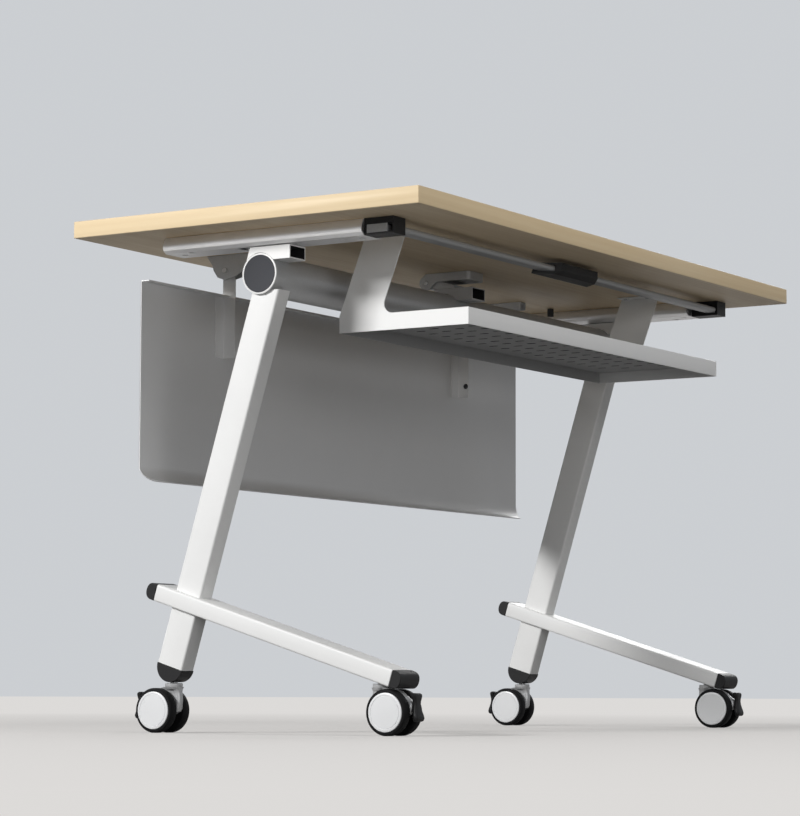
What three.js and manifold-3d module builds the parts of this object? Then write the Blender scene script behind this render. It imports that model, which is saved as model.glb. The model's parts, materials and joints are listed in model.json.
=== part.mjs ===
// Flip top training table: millimetres, +Z up, origin on the floor under the middle of the top.
// X runs along the long side, the user sits on the -Y side, the modesty panel hangs at +Y.
import * as THREE from 'three';
import { mergeVertices } from 'three/addons/utils/BufferGeometryUtils.js';
import Module from 'manifold-3d';

const wasm = await Module();
wasm.setup();

// Fits
const GAP = 0.3;
const EPS = 1;

// Top board
const TOP_LENGTH = 1200;
const TOP_DEPTH = 600;
const TOP_THICK = 25;
const TOP_HEIGHT = 750;
const TOP_EDGE = 1;
const UNDER = TOP_HEIGHT - TOP_THICK;
const SEAT = UNDER - GAP;

// Crossbeam, a round tube between the legs
const BEAM_R = 30;
const BEAM_WALL = 2.5;
const BEAM_INSET = 70;
const BEAM_DROP = 64.7;
const BEAM_HALF = TOP_LENGTH / 2 - BEAM_INSET;
const BEAM_Y = 14;
const BEAM_Z = SEAT - BEAM_DROP;
const PLUG_DEPTH = 12;

// Leaning leg and the foot rail square to it
const SIDE_INSET = 90;
const SIDE_X = TOP_LENGTH / 2 - SIDE_INSET;
const LEAN = THREE.MathUtils.degToRad(17);
const LEG_WIDE = 30;
const LEG_DEEP = 46;
const LEG_WALL = 2;
const LEG_AHEAD = 15;
const LEG_HEAD_DROP = 24;
const LEG_FOOT_Z = 96.5;
const LEG_RISE = BEAM_Z - LEG_FOOT_Z;
const LEG_FOOT_Y = BEAM_Y - LEG_AHEAD + LEG_RISE * Math.tan(LEAN);
const LEG_DRAWN = LEG_RISE / Math.cos(LEAN) + BEAM_R;
const LEG_TOP_Z = BEAM_Z - LEG_HEAD_DROP;
const RAIL_WIDE = 50;
const RAIL_THICK = 25;
const RAIL_WALL = 2;
const RAIL_UP = 96.5;
const RAIL_REAR = 50;
const RAIL_FRONT = -374.5;
const CAP_NOSE = 17;
const CAP_PLUG = 14;

// Stub tubes standing on the crossbeam and the hinge knuckles on them
const STUB_WIDE = 40;
const STUB_TALL = 20;
const STUB_WALL = 2;
const STUB_DROP = 25.7;
const STUB_TOP = SEAT - STUB_DROP;
const STUB_AHEAD = 53;
const STUB_FRONT = BEAM_Y - STUB_AHEAD;
const STUB_BEHIND = 17;
const STUB_REAR_TOP = BEAM_Y + STUB_BEHIND;
const STUB_SLOPE = 6;
const STUB_REAR_LOW = STUB_REAR_TOP + STUB_SLOPE;
const HINGE_BEHIND = 31;
const HINGE_DROP = 14.7;
const HINGE_Y = BEAM_Y + HINGE_BEHIND;
const HINGE_Z = SEAT - HINGE_DROP;
const PIN_R = 4;
const PIN_PROUD = 1;
const KNUCKLE_R = 9;
const KNUCKLE_TALL = 5;
const KNUCKLE_DEEP = 51;
const KNUCKLE_FRONT = HINGE_Y - KNUCKLE_DEEP;
const SIDE_KNUCKLE_HALF = 12;
const MID_KNUCKLE_HALF = 19.5;

// Arms under the top
const ARM_HALF = 22;
const ARM_BULGE = 30;
const ARM_TALL = 24;
const ARM_WALL = 2;
const ARM_FRONT_INSET = 133;
const ARM_REAR_INSET = 119;
const ARM_FRONT = ARM_FRONT_INSET - TOP_DEPTH / 2;
const ARM_REAR = TOP_DEPTH / 2 - ARM_REAR_INSET;
const LUG_THICK = 4;
const MOUTH_AHEAD = 59;
const ARM_MOUTH_FRONT = HINGE_Y - MOUTH_AHEAD;
const MOUTH_BEHIND = 17;
const ARM_MOUTH_REAR = HINGE_Y + MOUTH_BEHIND;
const ACCESS_HOLE_R = 5;
const HOLE_INBOARD = 2;
const HOLE_OUTBOARD = 14;
const HOLE_END = 18;
const HOLE_NEXT = 42;
const ACCESS_HOLES = [
  [HOLE_INBOARD, ARM_REAR - HOLE_END],
  [-HOLE_OUTBOARD, ARM_REAR - HOLE_NEXT],
  [-HOLE_OUTBOARD, ARM_FRONT + HOLE_NEXT],
  [HOLE_INBOARD, ARM_FRONT + HOLE_END],
];

// Middle hinge bracket
const BRACKET_HALF = 24;
const BRACKET_SHEET = 3;
const BRACKET_DEEP = 81;
const BRACKET_FRONT = HINGE_Y - BRACKET_DEEP;
const BRACKET_LOBE = 12;
const BRACKET_SKIRT = 14;
const BRACKET_CORNER = 8;
const BRACKET_FLOOR_REAR = KNUCKLE_FRONT - BRACKET_SHEET;

// Release bar, its handle and the caps it slides in
const RELEASE_TRAVEL = 9;
const CAP_OUTER = SIDE_X + ARM_HALF;
const CAP_INBOARD = 10;
const CAP_INNER = SIDE_X - CAP_INBOARD;
const CAP_DEEP = 49;
const CAP_FRONT = ARM_FRONT - CAP_DEEP;
const CAP_DROP = 24.2;
const CAP_LOW = SEAT - CAP_DROP;
const BAR_BEHIND = 2;
const BAR_FRONT = CAP_FRONT + BAR_BEHIND;
const BAR_DEEP = 20;
const BAR_DROP = 19.7;
const BAR_LOW = SEAT - BAR_DROP;
const BAR_TALL = 9;
const BAR_CLEAR = 2;
const BAR_HALF = CAP_INNER - BAR_CLEAR;
const TONGUE_DEEP = 8;
const LATCH_TALL = 12;
const CAP_WALL = 1.5;
const LATCH_FRONT = CAP_FRONT + RELEASE_TRAVEL + CAP_WALL;
const LATCH_CLEAR = 4;
const LATCH_REAR = ARM_FRONT - LATCH_CLEAR;
const LATCH_SHEET = 3;
const HANDLE_DEEP = 37;
const HANDLE_AHEAD = 9;
const HANDLE_FRONT = BAR_FRONT - HANDLE_AHEAD;
const HANDLE_REAR = HANDLE_FRONT + HANDLE_DEEP;
const HANDLE_CHAMFER = 12;
const HANDLE_REAR_HALF = 89;
const HANDLE_FRONT_HALF = 58;
const HANDLE_LOW = CAP_LOW;
const HANDLE_TALL = 17.5;
const HANDLE_HIGH = HANDLE_LOW + HANDLE_TALL;

// Book tray
const TRAY_INSET = 198;
const TRAY_HALF = TOP_LENGTH / 2 - TRAY_INSET;
const TRAY_SHEET = 2;
const TRAY_FRONT_INSET = 39;
const TRAY_FRONT = TRAY_FRONT_INSET - TOP_DEPTH / 2;
const TRAY_DEEP = 221;
const TRAY_REAR = TRAY_FRONT + TRAY_DEEP;
const TRAY_DROP = 141.7;
const TRAY_TALL = 25;
const TRAY_LOW = SEAT - TRAY_DROP;
const TRAY_HIGH = TRAY_LOW + TRAY_TALL;
const SHELF_UP = 17.5;
const SHELF_Z = TRAY_LOW + SHELF_UP;
const SLOT_LONG = 16;
const SLOT_WIDE = 6;
const SLOT_PITCH_X = 36;
const SLOT_ROWS = 5;
const SLOT_PITCH_Y = 34;
const STRAP_BACK = 45;
const HANGER_TOP_REAR = TRAY_REAR - STRAP_BACK;
const STRAP_WIDE = 70;
const HANGER_TOP_FRONT = HANGER_TOP_REAR - STRAP_WIDE;
const STRAP_FOOT = 78;
const HANGER_FOOT_FRONT = TRAY_REAR - STRAP_FOOT;
const HANGER_FLANGE = 22;
const HANGER_FILLET = 14;

// Modesty panel and its hangers
const PANEL_INSET = 49;
const PANEL_HALF = TOP_LENGTH / 2 - PANEL_INSET;
const PANEL_SHEET = 1.6;
const PANEL_REAR_INSET = 89;
const PANEL_Y = TOP_DEPTH / 2 - PANEL_REAR_INSET;
const PANEL_DROP = 62.7;
const PANEL_TOP = SEAT - PANEL_DROP;
const PANEL_LIP = 15;
const PANEL_CURL_R = 26;
const PANEL_FLAT = 272;
const PANEL_CURL_Z = PANEL_TOP - PANEL_FLAT;
const PANEL_CURL_TURN = THREE.MathUtils.degToRad(72);
const PANEL_CORNER = 25;
const WEB_INSET = 253;
const WEB_X = TOP_LENGTH / 2 - WEB_INSET;
const WEB_SHEET = 2;
const WEB_DEEP = 24;
const WEB_FRONT = PANEL_Y - WEB_DEEP;
const HANGER_TALL = 96;
const HANGER_LOW = PANEL_TOP - HANGER_TALL;
const HANGER_WIDE = 21;
const SWING_AHEAD = 10;
const SWING_DROP = 24.2;
const SWING_Y = PANEL_Y - SWING_AHEAD;
const SWING_Z = SEAT - SWING_DROP;
const SWING_PIN_R = 4;
const EAR_HALF_GAP = 7;
const EAR_SHEET = 2;
const EAR_DEEP = 39;
const EAR_AHEAD = 123;
const EAR_FRONT = SWING_Y - EAR_AHEAD;
const EAR_BEHIND = 34;
const EAR_REAR = SWING_Y + EAR_BEHIND;
const EAR_SHOULDER = 13;

// Rubber bumpers under the top
const BUMPER_R = 5.5;
const BUMPER_TALL = 14;
const BUMPER_INBOARD = 63;
const BUMPER_X = SIDE_X - BUMPER_INBOARD;
const BUMPER_Y = 80;

// Castors
const WHEEL_R = 32.5;
const WHEEL_IN = 8;
const WHEEL_OUT = 23.6;
const COVER_R = 27.3;
const COVER_SEAT = 20;
const COVER_OUT = 24.8;
const AXLE_R = 3;
const FORK_HALF = 6.5;
const FORK_SPILL = 0.8;
const COLLAR_SINK = 3;
const WHEEL_EDGE = 2;
const COVER_EDGE = 1;
const COVER_DOME = 0.4;
const TRAIL = 20;
const COLLAR_R = 13;
const COLLAR_LOW = 65.8;
const COLLAR_HIGH = 72;
const STEM_R = 5.5;
const STEM_TOP = 88;
const PEDAL_HALF = 11;
const STEM_BEHIND = 2.7;
const REAR_STEM_Y = LEG_FOOT_Y + STEM_BEHIND;
const STEM_AHEAD = 357.3;
const FRONT_STEM_Y = LEG_FOOT_Y - STEM_AHEAD;
const STEM_CLEAR = 2;

// Finishes
const paint = (color, roughness, metalness) =>
  new THREE.MeshStandardMaterial({ color, roughness, metalness });
const MAPLE = paint(0xe3cda3, 0.55, 0);
const WHITE = paint(0xf2f2f0, 0.4, 0);
const SILVER = paint(0xa9abad, 0.45, 0.3);
const PANEL_GREY = paint(0xdfdfdf, 0.5, 0.1);
const DARK_GREY = paint(0x4a4c50, 0.5, 0);
const BLACK = paint(0x17181a, 0.5, 0);
const COVER_WHITE = paint(0xe4e6e8, 0.35, 0);
const FORK_GREY = paint(0xb9bbbd, 0.35, 0.4);
const STEEL = paint(0x8f9194, 0.35, 0.8);

const table = new THREE.Group();
table.name = 'flip_top_training_table';

function addPart(name, geometry, material, parent = table) {
  const mesh = new THREE.Mesh(geometry, material);
  mesh.name = name;
  parent.add(mesh);
  return mesh;
}

function toSolid(geometry) {
  const bare = geometry.clone();
  bare.deleteAttribute('normal');
  bare.deleteAttribute('uv');
  const welded = mergeVertices(bare, 1e-4);
  const mesh = new wasm.Mesh({
    numProp: 3,
    vertProperties: new Float32Array(welded.attributes.position.array),
    triVerts: new Uint32Array(welded.index.array),
  });
  mesh.merge();
  return new wasm.Manifold(mesh);
}

function toGeometry(solid) {
  const mesh = solid.getMesh();
  const geometry = new THREE.BufferGeometry();
  geometry.setAttribute('position', new THREE.BufferAttribute(new Float32Array(mesh.vertProperties), 3));
  geometry.setIndex(new THREE.BufferAttribute(new Uint32Array(mesh.triVerts), 1));
  geometry.computeVertexNormals();
  return geometry;
}

function cut(geometry, ...tools) {
  return toGeometry(tools.reduce((left, tool) => left.subtract(toSolid(tool)), toSolid(geometry)));
}

function join(geometry, ...others) {
  return toGeometry(others.reduce((left, other) => left.add(toSolid(other)), toSolid(geometry)));
}

function common(geometry, other) {
  return toGeometry(toSolid(geometry).intersect(toSolid(other)));
}

// A box between two corners.
function block(x0, x1, y0, y1, z0, z1) {
  const geometry = new THREE.BoxGeometry(x1 - x0, y1 - y0, z1 - z0);
  return geometry.translate((x0 + x1) / 2, (y0 + y1) / 2, (z0 + z1) / 2);
}

// A round bar along X.
function barX(radius, x0, x1, y, z, segments = 48) {
  const geometry = new THREE.CylinderGeometry(radius, radius, x1 - x0, segments);
  return geometry.rotateZ(Math.PI / 2).translate((x0 + x1) / 2, y, z);
}

// A round bar along Z.
function barZ(radius, x, y, z0, z1, segments = 24) {
  const geometry = new THREE.CylinderGeometry(radius, radius, z1 - z0, segments);
  return geometry.rotateX(Math.PI / 2).translate(x, y, (z0 + z1) / 2);
}

function outline(points) {
  return new THREE.Shape(points.map(([u, v]) => new THREE.Vector2(u, v)));
}

function extruded(points, depth, hole) {
  const shape = outline(points);
  if (hole) {
    shape.holes.push(new THREE.Path(hole.map(([u, v]) => new THREE.Vector2(u, v))));
  }
  return new THREE.ExtrudeGeometry(shape, { depth, bevelEnabled: false, curveSegments: 12 });
}

// A (y, z) outline drawn out along X.
function prismX(points, x0, x1, hole) {
  const turn = new THREE.Matrix4().makeBasis(
    new THREE.Vector3(0, 1, 0),
    new THREE.Vector3(0, 0, 1),
    new THREE.Vector3(1, 0, 0),
  );
  return extruded(points, x1 - x0, hole).applyMatrix4(turn).translate(x0, 0, 0);
}

// An (x, z) outline drawn out along Y.
function prismY(points, y0, y1, hole) {
  const turn = new THREE.Matrix4().makeBasis(
    new THREE.Vector3(1, 0, 0),
    new THREE.Vector3(0, 0, 1),
    new THREE.Vector3(0, -1, 0),
  );
  return extruded(points, y1 - y0, hole).applyMatrix4(turn).translate(0, y1, 0);
}

// An (x, y) outline drawn out along Z.
function prismZ(points, z0, z1) {
  return extruded(points, z1 - z0).translate(0, 0, z0);
}

function arc(cu, cv, radius, from, to, steps) {
  const points = [];
  for (let i = 0; i <= steps; i += 1) {
    const angle = from + ((to - from) * i) / steps;
    points.push([cu + radius * Math.cos(angle), cv + radius * Math.sin(angle)]);
  }
  return points;
}

function mirrored(points) {
  return points.map(([u, v]) => [-u, v]).reverse();
}

// Both sides of the table, with the sign that points away from the middle.
const SIDES = [['left', -1], ['right', 1]];
const between = (a, b) => [Math.min(a, b), Math.max(a, b)];

function topBoard() {
  const shape = [
    [-TOP_LENGTH / 2 + TOP_EDGE, -TOP_DEPTH / 2 + TOP_EDGE],
    [TOP_LENGTH / 2 - TOP_EDGE, -TOP_DEPTH / 2 + TOP_EDGE],
    [TOP_LENGTH / 2 - TOP_EDGE, TOP_DEPTH / 2 - TOP_EDGE],
    [-TOP_LENGTH / 2 + TOP_EDGE, TOP_DEPTH / 2 - TOP_EDGE],
  ];
  const board = new THREE.ExtrudeGeometry(outline(shape), {
    depth: TOP_THICK - 2 * TOP_EDGE,
    bevelEnabled: true,
    bevelSize: TOP_EDGE,
    bevelThickness: TOP_EDGE,
    bevelSegments: 1,
  });
  return board.translate(0, 0, UNDER + TOP_EDGE);
}

function crossbeam() {
  const tube = barX(BEAM_R, -BEAM_HALF, BEAM_HALF, BEAM_Y, BEAM_Z, 64);
  const bore = barX(BEAM_R - BEAM_WALL, -BEAM_HALF - EPS, BEAM_HALF + EPS, BEAM_Y, BEAM_Z, 64);
  return cut(tube, bore);
}

function beamPlug(sign) {
  const radius = BEAM_R - BEAM_WALL - GAP;
  const [x0, x1] = between(sign * (BEAM_HALF - PLUG_DEPTH), sign * BEAM_HALF);
  return barX(radius, x0, x1, BEAM_Y, BEAM_Z, 48);
}

// The leg, rail and caps are drawn upright around the leg's foot, then leaned into place.
function leaned(geometry, sign) {
  return geometry.rotateX(LEAN).translate(sign * SIDE_X, LEG_FOOT_Y, LEG_FOOT_Z);
}

function beamSpace() {
  return barX(BEAM_R + GAP, -2 * BEAM_HALF, 2 * BEAM_HALF, BEAM_Y, BEAM_Z, 64);
}

function leg(sign) {
  const outer = block(-LEG_WIDE / 2, LEG_WIDE / 2, -LEG_DEEP / 2, LEG_DEEP / 2, 0, LEG_DRAWN);
  const w = LEG_WIDE / 2 - LEG_WALL;
  const d = LEG_DEEP / 2 - LEG_WALL;
  const bore = block(-w, w, -d, d, -EPS, LEG_DRAWN + EPS);
  const tube = leaned(cut(outer, bore), sign);
  const above = block(
    -2 * SIDE_X, 2 * SIDE_X, -TOP_DEPTH, TOP_DEPTH, LEG_TOP_Z, LEG_TOP_Z + LEG_DRAWN,
  );
  return cut(tube, above, beamSpace());
}

function legCap(sign) {
  const r = LEG_DEEP / 2;
  const dome = prismX(arc(0, -GAP, r, 0, -Math.PI, 20), -LEG_WIDE / 2, LEG_WIDE / 2);
  const w = LEG_WIDE / 2 - LEG_WALL - GAP;
  const d = LEG_DEEP / 2 - LEG_WALL - GAP;
  const plug = block(-w, w, -d, d, -2 * GAP, CAP_PLUG);
  const stem = barZ(STEM_R + GAP, sign * SIDE_X, REAR_STEM_Y, COLLAR_LOW, STEM_TOP + STEM_CLEAR);
  return cut(leaned(join(dome, plug), sign), stem);
}

function rail(sign) {
  const w = RAIL_WIDE / 2;
  const low = RAIL_UP - RAIL_THICK / 2;
  const high = RAIL_UP + RAIL_THICK / 2;
  const outer = block(-w, w, RAIL_FRONT, RAIL_REAR, low, high);
  const bore = block(
    -w + RAIL_WALL, w - RAIL_WALL, RAIL_FRONT - EPS, RAIL_REAR + EPS, low + RAIL_WALL, high - RAIL_WALL,
  );
  const passage = block(
    -LEG_WIDE / 2 - GAP, LEG_WIDE / 2 + GAP, -LEG_DEEP / 2 - GAP, LEG_DEEP / 2 + GAP, low - EPS, high + EPS,
  );
  const tube = leaned(cut(outer, bore, passage), sign);
  const stem = barZ(STEM_R + GAP, sign * SIDE_X, FRONT_STEM_Y, COLLAR_LOW, STEM_TOP + STEM_CLEAR);
  const collar = barZ(COLLAR_R + GAP, sign * SIDE_X, FRONT_STEM_Y, COLLAR_LOW, COLLAR_HIGH + GAP);
  return cut(tube, stem, collar);
}

// A bullnose cap: toward is +1 for the rear end of the rail and -1 for its front end.
function railCap(sign, toward) {
  const end = toward > 0 ? RAIL_REAR + GAP : RAIL_FRONT - GAP;
  const half = RAIL_THICK / 2;
  const nose = [];
  for (let i = 0; i <= 16; i += 1) {
    const angle = -Math.PI / 2 + (Math.PI * i) / 16;
    const reach = Math.sign(Math.cos(angle)) * Math.sqrt(Math.abs(Math.cos(angle)));
    nose.push([end + toward * CAP_NOSE * reach, RAIL_UP + half * Math.sin(angle)]);
  }
  const dome = prismX(toward > 0 ? nose : nose.reverse(), -RAIL_WIDE / 2, RAIL_WIDE / 2);
  const w = RAIL_WIDE / 2 - RAIL_WALL - GAP;
  const h = half - RAIL_WALL - GAP;
  const [y0, y1] = between(end + toward * GAP, end - toward * CAP_PLUG);
  const plug = block(-w, w, y0, y1, RAIL_UP - h, RAIL_UP + h);
  return leaned(join(dome, plug), sign);
}

function stub(x) {
  const low = STUB_TOP - STUB_TALL;
  const slope = (STUB_REAR_LOW - STUB_REAR_TOP) / STUB_TALL;
  const side = (front, under, top) => [
    [front, under],
    [STUB_REAR_LOW - slope * (under - low), under],
    [STUB_REAR_LOW - slope * (top - low), top],
    [front, top],
  ];
  const half = STUB_WIDE / 2;
  const body = prismX(side(STUB_FRONT, low, STUB_TOP), x - half, x + half);
  const bore = block(
    x - half + STUB_WALL, x + half - STUB_WALL, STUB_FRONT - EPS, STUB_REAR_LOW + EPS,
    low + STUB_WALL, STUB_TOP - STUB_WALL,
  );
  return cut(body, bore, beamSpace());
}

function knuckle(x, half) {
  const seat = STUB_TOP + GAP;
  const lobe = arc(HINGE_Y, HINGE_Z, KNUCKLE_R, -Math.PI / 2, Math.PI / 2, 10);
  const points = [
    [KNUCKLE_FRONT, seat],
    [STUB_REAR_TOP, seat],
    ...lobe,
    [KNUCKLE_FRONT, seat + KNUCKLE_TALL],
  ];
  const body = prismX(points, x - half, x + half);
  return cut(body, barX(PIN_R + GAP, x - half - EPS, x + half + EPS, HINGE_Y, HINGE_Z, 24));
}

function armSide(inset) {
  const top = SEAT - inset;
  const low = SEAT - ARM_TALL + inset;
  const bulge = ARM_BULGE - inset;
  const foot = ARM_HALF - inset;
  return [
    [foot, low],
    [foot + (bulge - foot) * 0.75, low + (top - low) / 6],
    [bulge, low + (top - low) * 0.35],
    [foot + (bulge - foot) * 0.9, low + (top - low) * 0.55],
    [foot + (bulge - foot) * 0.62, top - (top - low) * 0.21],
    [foot, top],
  ];
}

function armProfile(x, inset) {
  const side = armSide(inset);
  return [...side, ...mirrored(side)].map(([u, v]) => [u + x, v]);
}

function arm(x) {
  const tube = prismY(armProfile(x, 0), ARM_FRONT, ARM_REAR, armProfile(x, ARM_WALL));
  const low = SEAT - ARM_TALL;
  const reach = SIDE_KNUCKLE_HALF + GAP;
  const lug = (x0, x1) => block(
    x0, x1, HINGE_Y - BRACKET_LOBE, HINGE_Y + BRACKET_LOBE, low + GAP, SEAT - ARM_WALL / 2,
  );
  const mouth = block(
    x - reach - GAP, x + reach + GAP, ARM_MOUTH_FRONT, ARM_MOUTH_REAR, low - EPS, low + ARM_WALL + GAP,
  );
  const body = join(
    tube,
    lug(x - reach - LUG_THICK, x - reach),
    lug(x + reach, x + reach + LUG_THICK),
  );
  const holes = ACCESS_HOLES.map(([dx, y]) => barZ(
    ACCESS_HOLE_R, x - Math.sign(x) * dx, y, low - EPS, low + ARM_WALL + EPS, 16,
  ));
  const pinHalf = reach + LUG_THICK + GAP;
  const pin = barX(PIN_R + GAP, x - pinHalf, x + pinHalf, HINGE_Y, HINGE_Z, 24);
  return cut(body, mouth, pin, ...holes);
}

function hingePin(x, half) {
  return barX(PIN_R, x - half, x + half, HINGE_Y, HINGE_Z, 24);
}

// A cast bracket with two lobed cheeks, closed at its round-cornered front.
function middleBracket() {
  const lobe = arc(HINGE_Y, HINGE_Z, BRACKET_LOBE, -Math.PI * 0.75, Math.PI / 4, 14);
  const skirt = SEAT - BRACKET_SKIRT;
  const cheek = [
    [BRACKET_FRONT, skirt],
    [HINGE_Y - BRACKET_LOBE * 1.6, skirt],
    ...lobe,
    [HINGE_Y, SEAT],
    [BRACKET_FRONT, SEAT],
  ];
  const r = BRACKET_CORNER;
  const rear = HINGE_Y + 2 * BRACKET_LOBE;
  const low = HINGE_Z - 2 * BRACKET_LOBE;
  const plan = [
    ...arc(-BRACKET_HALF + r, BRACKET_FRONT + r, r, Math.PI, Math.PI * 1.5, 6),
    ...arc(BRACKET_HALF - r, BRACKET_FRONT + r, r, Math.PI * 1.5, Math.PI * 2, 6),
    [BRACKET_HALF, rear],
    [-BRACKET_HALF, rear],
  ];
  const body = common(
    prismX(cheek, -BRACKET_HALF, BRACKET_HALF),
    prismZ(plan, low, SEAT + EPS),
  );
  const inner = BRACKET_HALF - BRACKET_SHEET;
  const top = SEAT - BRACKET_SHEET;
  const nose = block(
    -inner, inner, BRACKET_FRONT + r, BRACKET_FLOOR_REAR + EPS, skirt + BRACKET_SHEET, top,
  );
  const open = block(-inner, inner, BRACKET_FLOOR_REAR, rear, low, top);
  const pinHalf = BRACKET_HALF + EPS;
  const pin = barX(PIN_R + GAP, -pinHalf, pinHalf, HINGE_Y, HINGE_Z, 24);
  return cut(body, nose, open, pin);
}

// The black end of an arm, with a passage for the bar's tongue and a window for its latch plate.
function armCap(sign) {
  const [x0, x1] = between(sign * CAP_INNER, sign * CAP_OUTER);
  const body = block(x0, x1, CAP_FRONT, ARM_FRONT - GAP, CAP_LOW, SEAT);
  const tongueRear = BAR_FRONT + BAR_DEEP;
  const passage = block(
    x0 - EPS, x1 + EPS, tongueRear - TONGUE_DEEP - RELEASE_TRAVEL - GAP, tongueRear + GAP,
    BAR_LOW - GAP, BAR_LOW + BAR_TALL + GAP,
  );
  const middle = BAR_LOW + BAR_TALL / 2;
  const [w0, w1] = between(sign * (CAP_OUTER - LATCH_SHEET - 2 * GAP), sign * (CAP_OUTER + EPS));
  const window = block(
    w0, w1, LATCH_FRONT - RELEASE_TRAVEL - GAP, LATCH_REAR + GAP,
    middle - LATCH_TALL / 2 - GAP, middle + LATCH_TALL / 2 + GAP,
  );
  return cut(body, passage, window);
}

function releaseBar() {
  const middle = BAR_LOW + BAR_TALL / 2;
  const r = BAR_TALL / 2;
  const rear = BAR_FRONT + BAR_DEEP;
  const section = [
    ...arc(rear - r, middle, r, -Math.PI / 2, Math.PI / 2, 8),
    ...arc(BAR_FRONT + r, middle, r, Math.PI / 2, Math.PI * 1.5, 8),
  ];
  const bar = prismX(section, -BAR_HALF, BAR_HALF);
  const reach = CAP_OUTER - GAP;
  const tongue = block(-reach, reach, rear - TONGUE_DEEP, rear, BAR_LOW, BAR_LOW + BAR_TALL);
  const plates = SIDES.map(([, sign]) => {
    const [x0, x1] = between(sign * (reach - LATCH_SHEET), sign * reach);
    return block(x0, x1, LATCH_FRONT, LATCH_REAR, middle - LATCH_TALL / 2, middle + LATCH_TALL / 2);
  });
  return join(bar, tongue, ...plates);
}

function handle() {
  const plan = [
    [-HANDLE_FRONT_HALF, HANDLE_FRONT],
    [HANDLE_FRONT_HALF, HANDLE_FRONT],
    [HANDLE_REAR_HALF, HANDLE_REAR],
    [-HANDLE_REAR_HALF, HANDLE_REAR],
  ];
  const body = prismZ(plan, HANDLE_LOW, HANDLE_HIGH);
  const side = [
    [HANDLE_REAR + EPS, HANDLE_LOW - EPS],
    [HANDLE_REAR + EPS, HANDLE_HIGH + EPS],
    [HANDLE_REAR - HANDLE_CHAMFER / 3, HANDLE_HIGH + EPS],
    [HANDLE_REAR - HANDLE_CHAMFER / 12, HANDLE_LOW + HANDLE_TALL * 0.29],
  ];
  const front = [
    [HANDLE_FRONT - EPS, HANDLE_LOW - EPS],
    [HANDLE_FRONT + HANDLE_CHAMFER, HANDLE_LOW - EPS],
    [HANDLE_FRONT - EPS, HANDLE_LOW + HANDLE_TALL * 0.4],
  ];
  const space = block(
    -HANDLE_REAR_HALF - EPS, HANDLE_REAR_HALF + EPS, BAR_FRONT - GAP, BAR_FRONT + BAR_DEEP + GAP,
    BAR_LOW - GAP, BAR_LOW + BAR_TALL + GAP,
  );
  const reach = HANDLE_REAR_HALF + EPS;
  return cut(body, prismX(side, -reach, reach), prismX(front, -reach, reach), space);
}

function trayShelf() {
  const half = TRAY_HALF - TRAY_SHEET - GAP;
  const shelf = block(-half, half, TRAY_FRONT, TRAY_REAR, SHELF_Z, SHELF_Z + TRAY_SHEET);
  const front = block(-half, half, TRAY_FRONT, TRAY_FRONT + TRAY_SHEET, TRAY_LOW, TRAY_HIGH);
  const rear = block(-half, half, TRAY_REAR - TRAY_SHEET, TRAY_REAR, TRAY_LOW, TRAY_HIGH);
  const middle = (TRAY_FRONT + TRAY_REAR) / 2;
  const slots = [];
  for (let row = 0; row < SLOT_ROWS; row += 1) {
    const y = middle + (row - (SLOT_ROWS - 1) / 2) * SLOT_PITCH_Y;
    const shift = (row % 2) * (SLOT_PITCH_X / 2);
    const count = Math.floor((2 * half - 2 * SLOT_PITCH_X) / SLOT_PITCH_X);
    for (let i = 0; i < count; i += 1) {
      const x = (i - (count - 1) / 2) * SLOT_PITCH_X + shift - SLOT_PITCH_X / 4;
      slots.push(block(
        x - SLOT_WIDE / 2, x + SLOT_WIDE / 2, y - SLOT_LONG / 2, y + SLOT_LONG / 2,
        SHELF_Z - EPS, SHELF_Z + TRAY_SHEET + EPS,
      ));
    }
  }
  return cut(join(shelf, front, rear), ...slots);
}

// The tray's end plate rises as a leaning strap to a flange under the top.
function traySide(sign) {
  const fillet = HANGER_FILLET;
  const plate = [
    [TRAY_FRONT, TRAY_LOW],
    [TRAY_REAR, TRAY_LOW],
    [TRAY_REAR, TRAY_HIGH],
    [HANGER_TOP_REAR, SEAT],
    [HANGER_TOP_FRONT, SEAT],
    ...arc(HANGER_FOOT_FRONT - fillet, TRAY_HIGH + fillet, fillet, 0.35, -Math.PI / 2, 8),
    [TRAY_FRONT, TRAY_HIGH],
  ];
  const [x0, x1] = between(sign * TRAY_HALF, sign * (TRAY_HALF - TRAY_SHEET));
  const [f0, f1] = between(sign * TRAY_HALF, sign * (TRAY_HALF - HANGER_FLANGE));
  const flange = block(
    f0, f1, HANGER_TOP_FRONT + TRAY_SHEET, HANGER_TOP_REAR - TRAY_SHEET, SEAT - TRAY_SHEET, SEAT,
  );
  return join(prismX(plate, x0, x1), flange);
}

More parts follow.
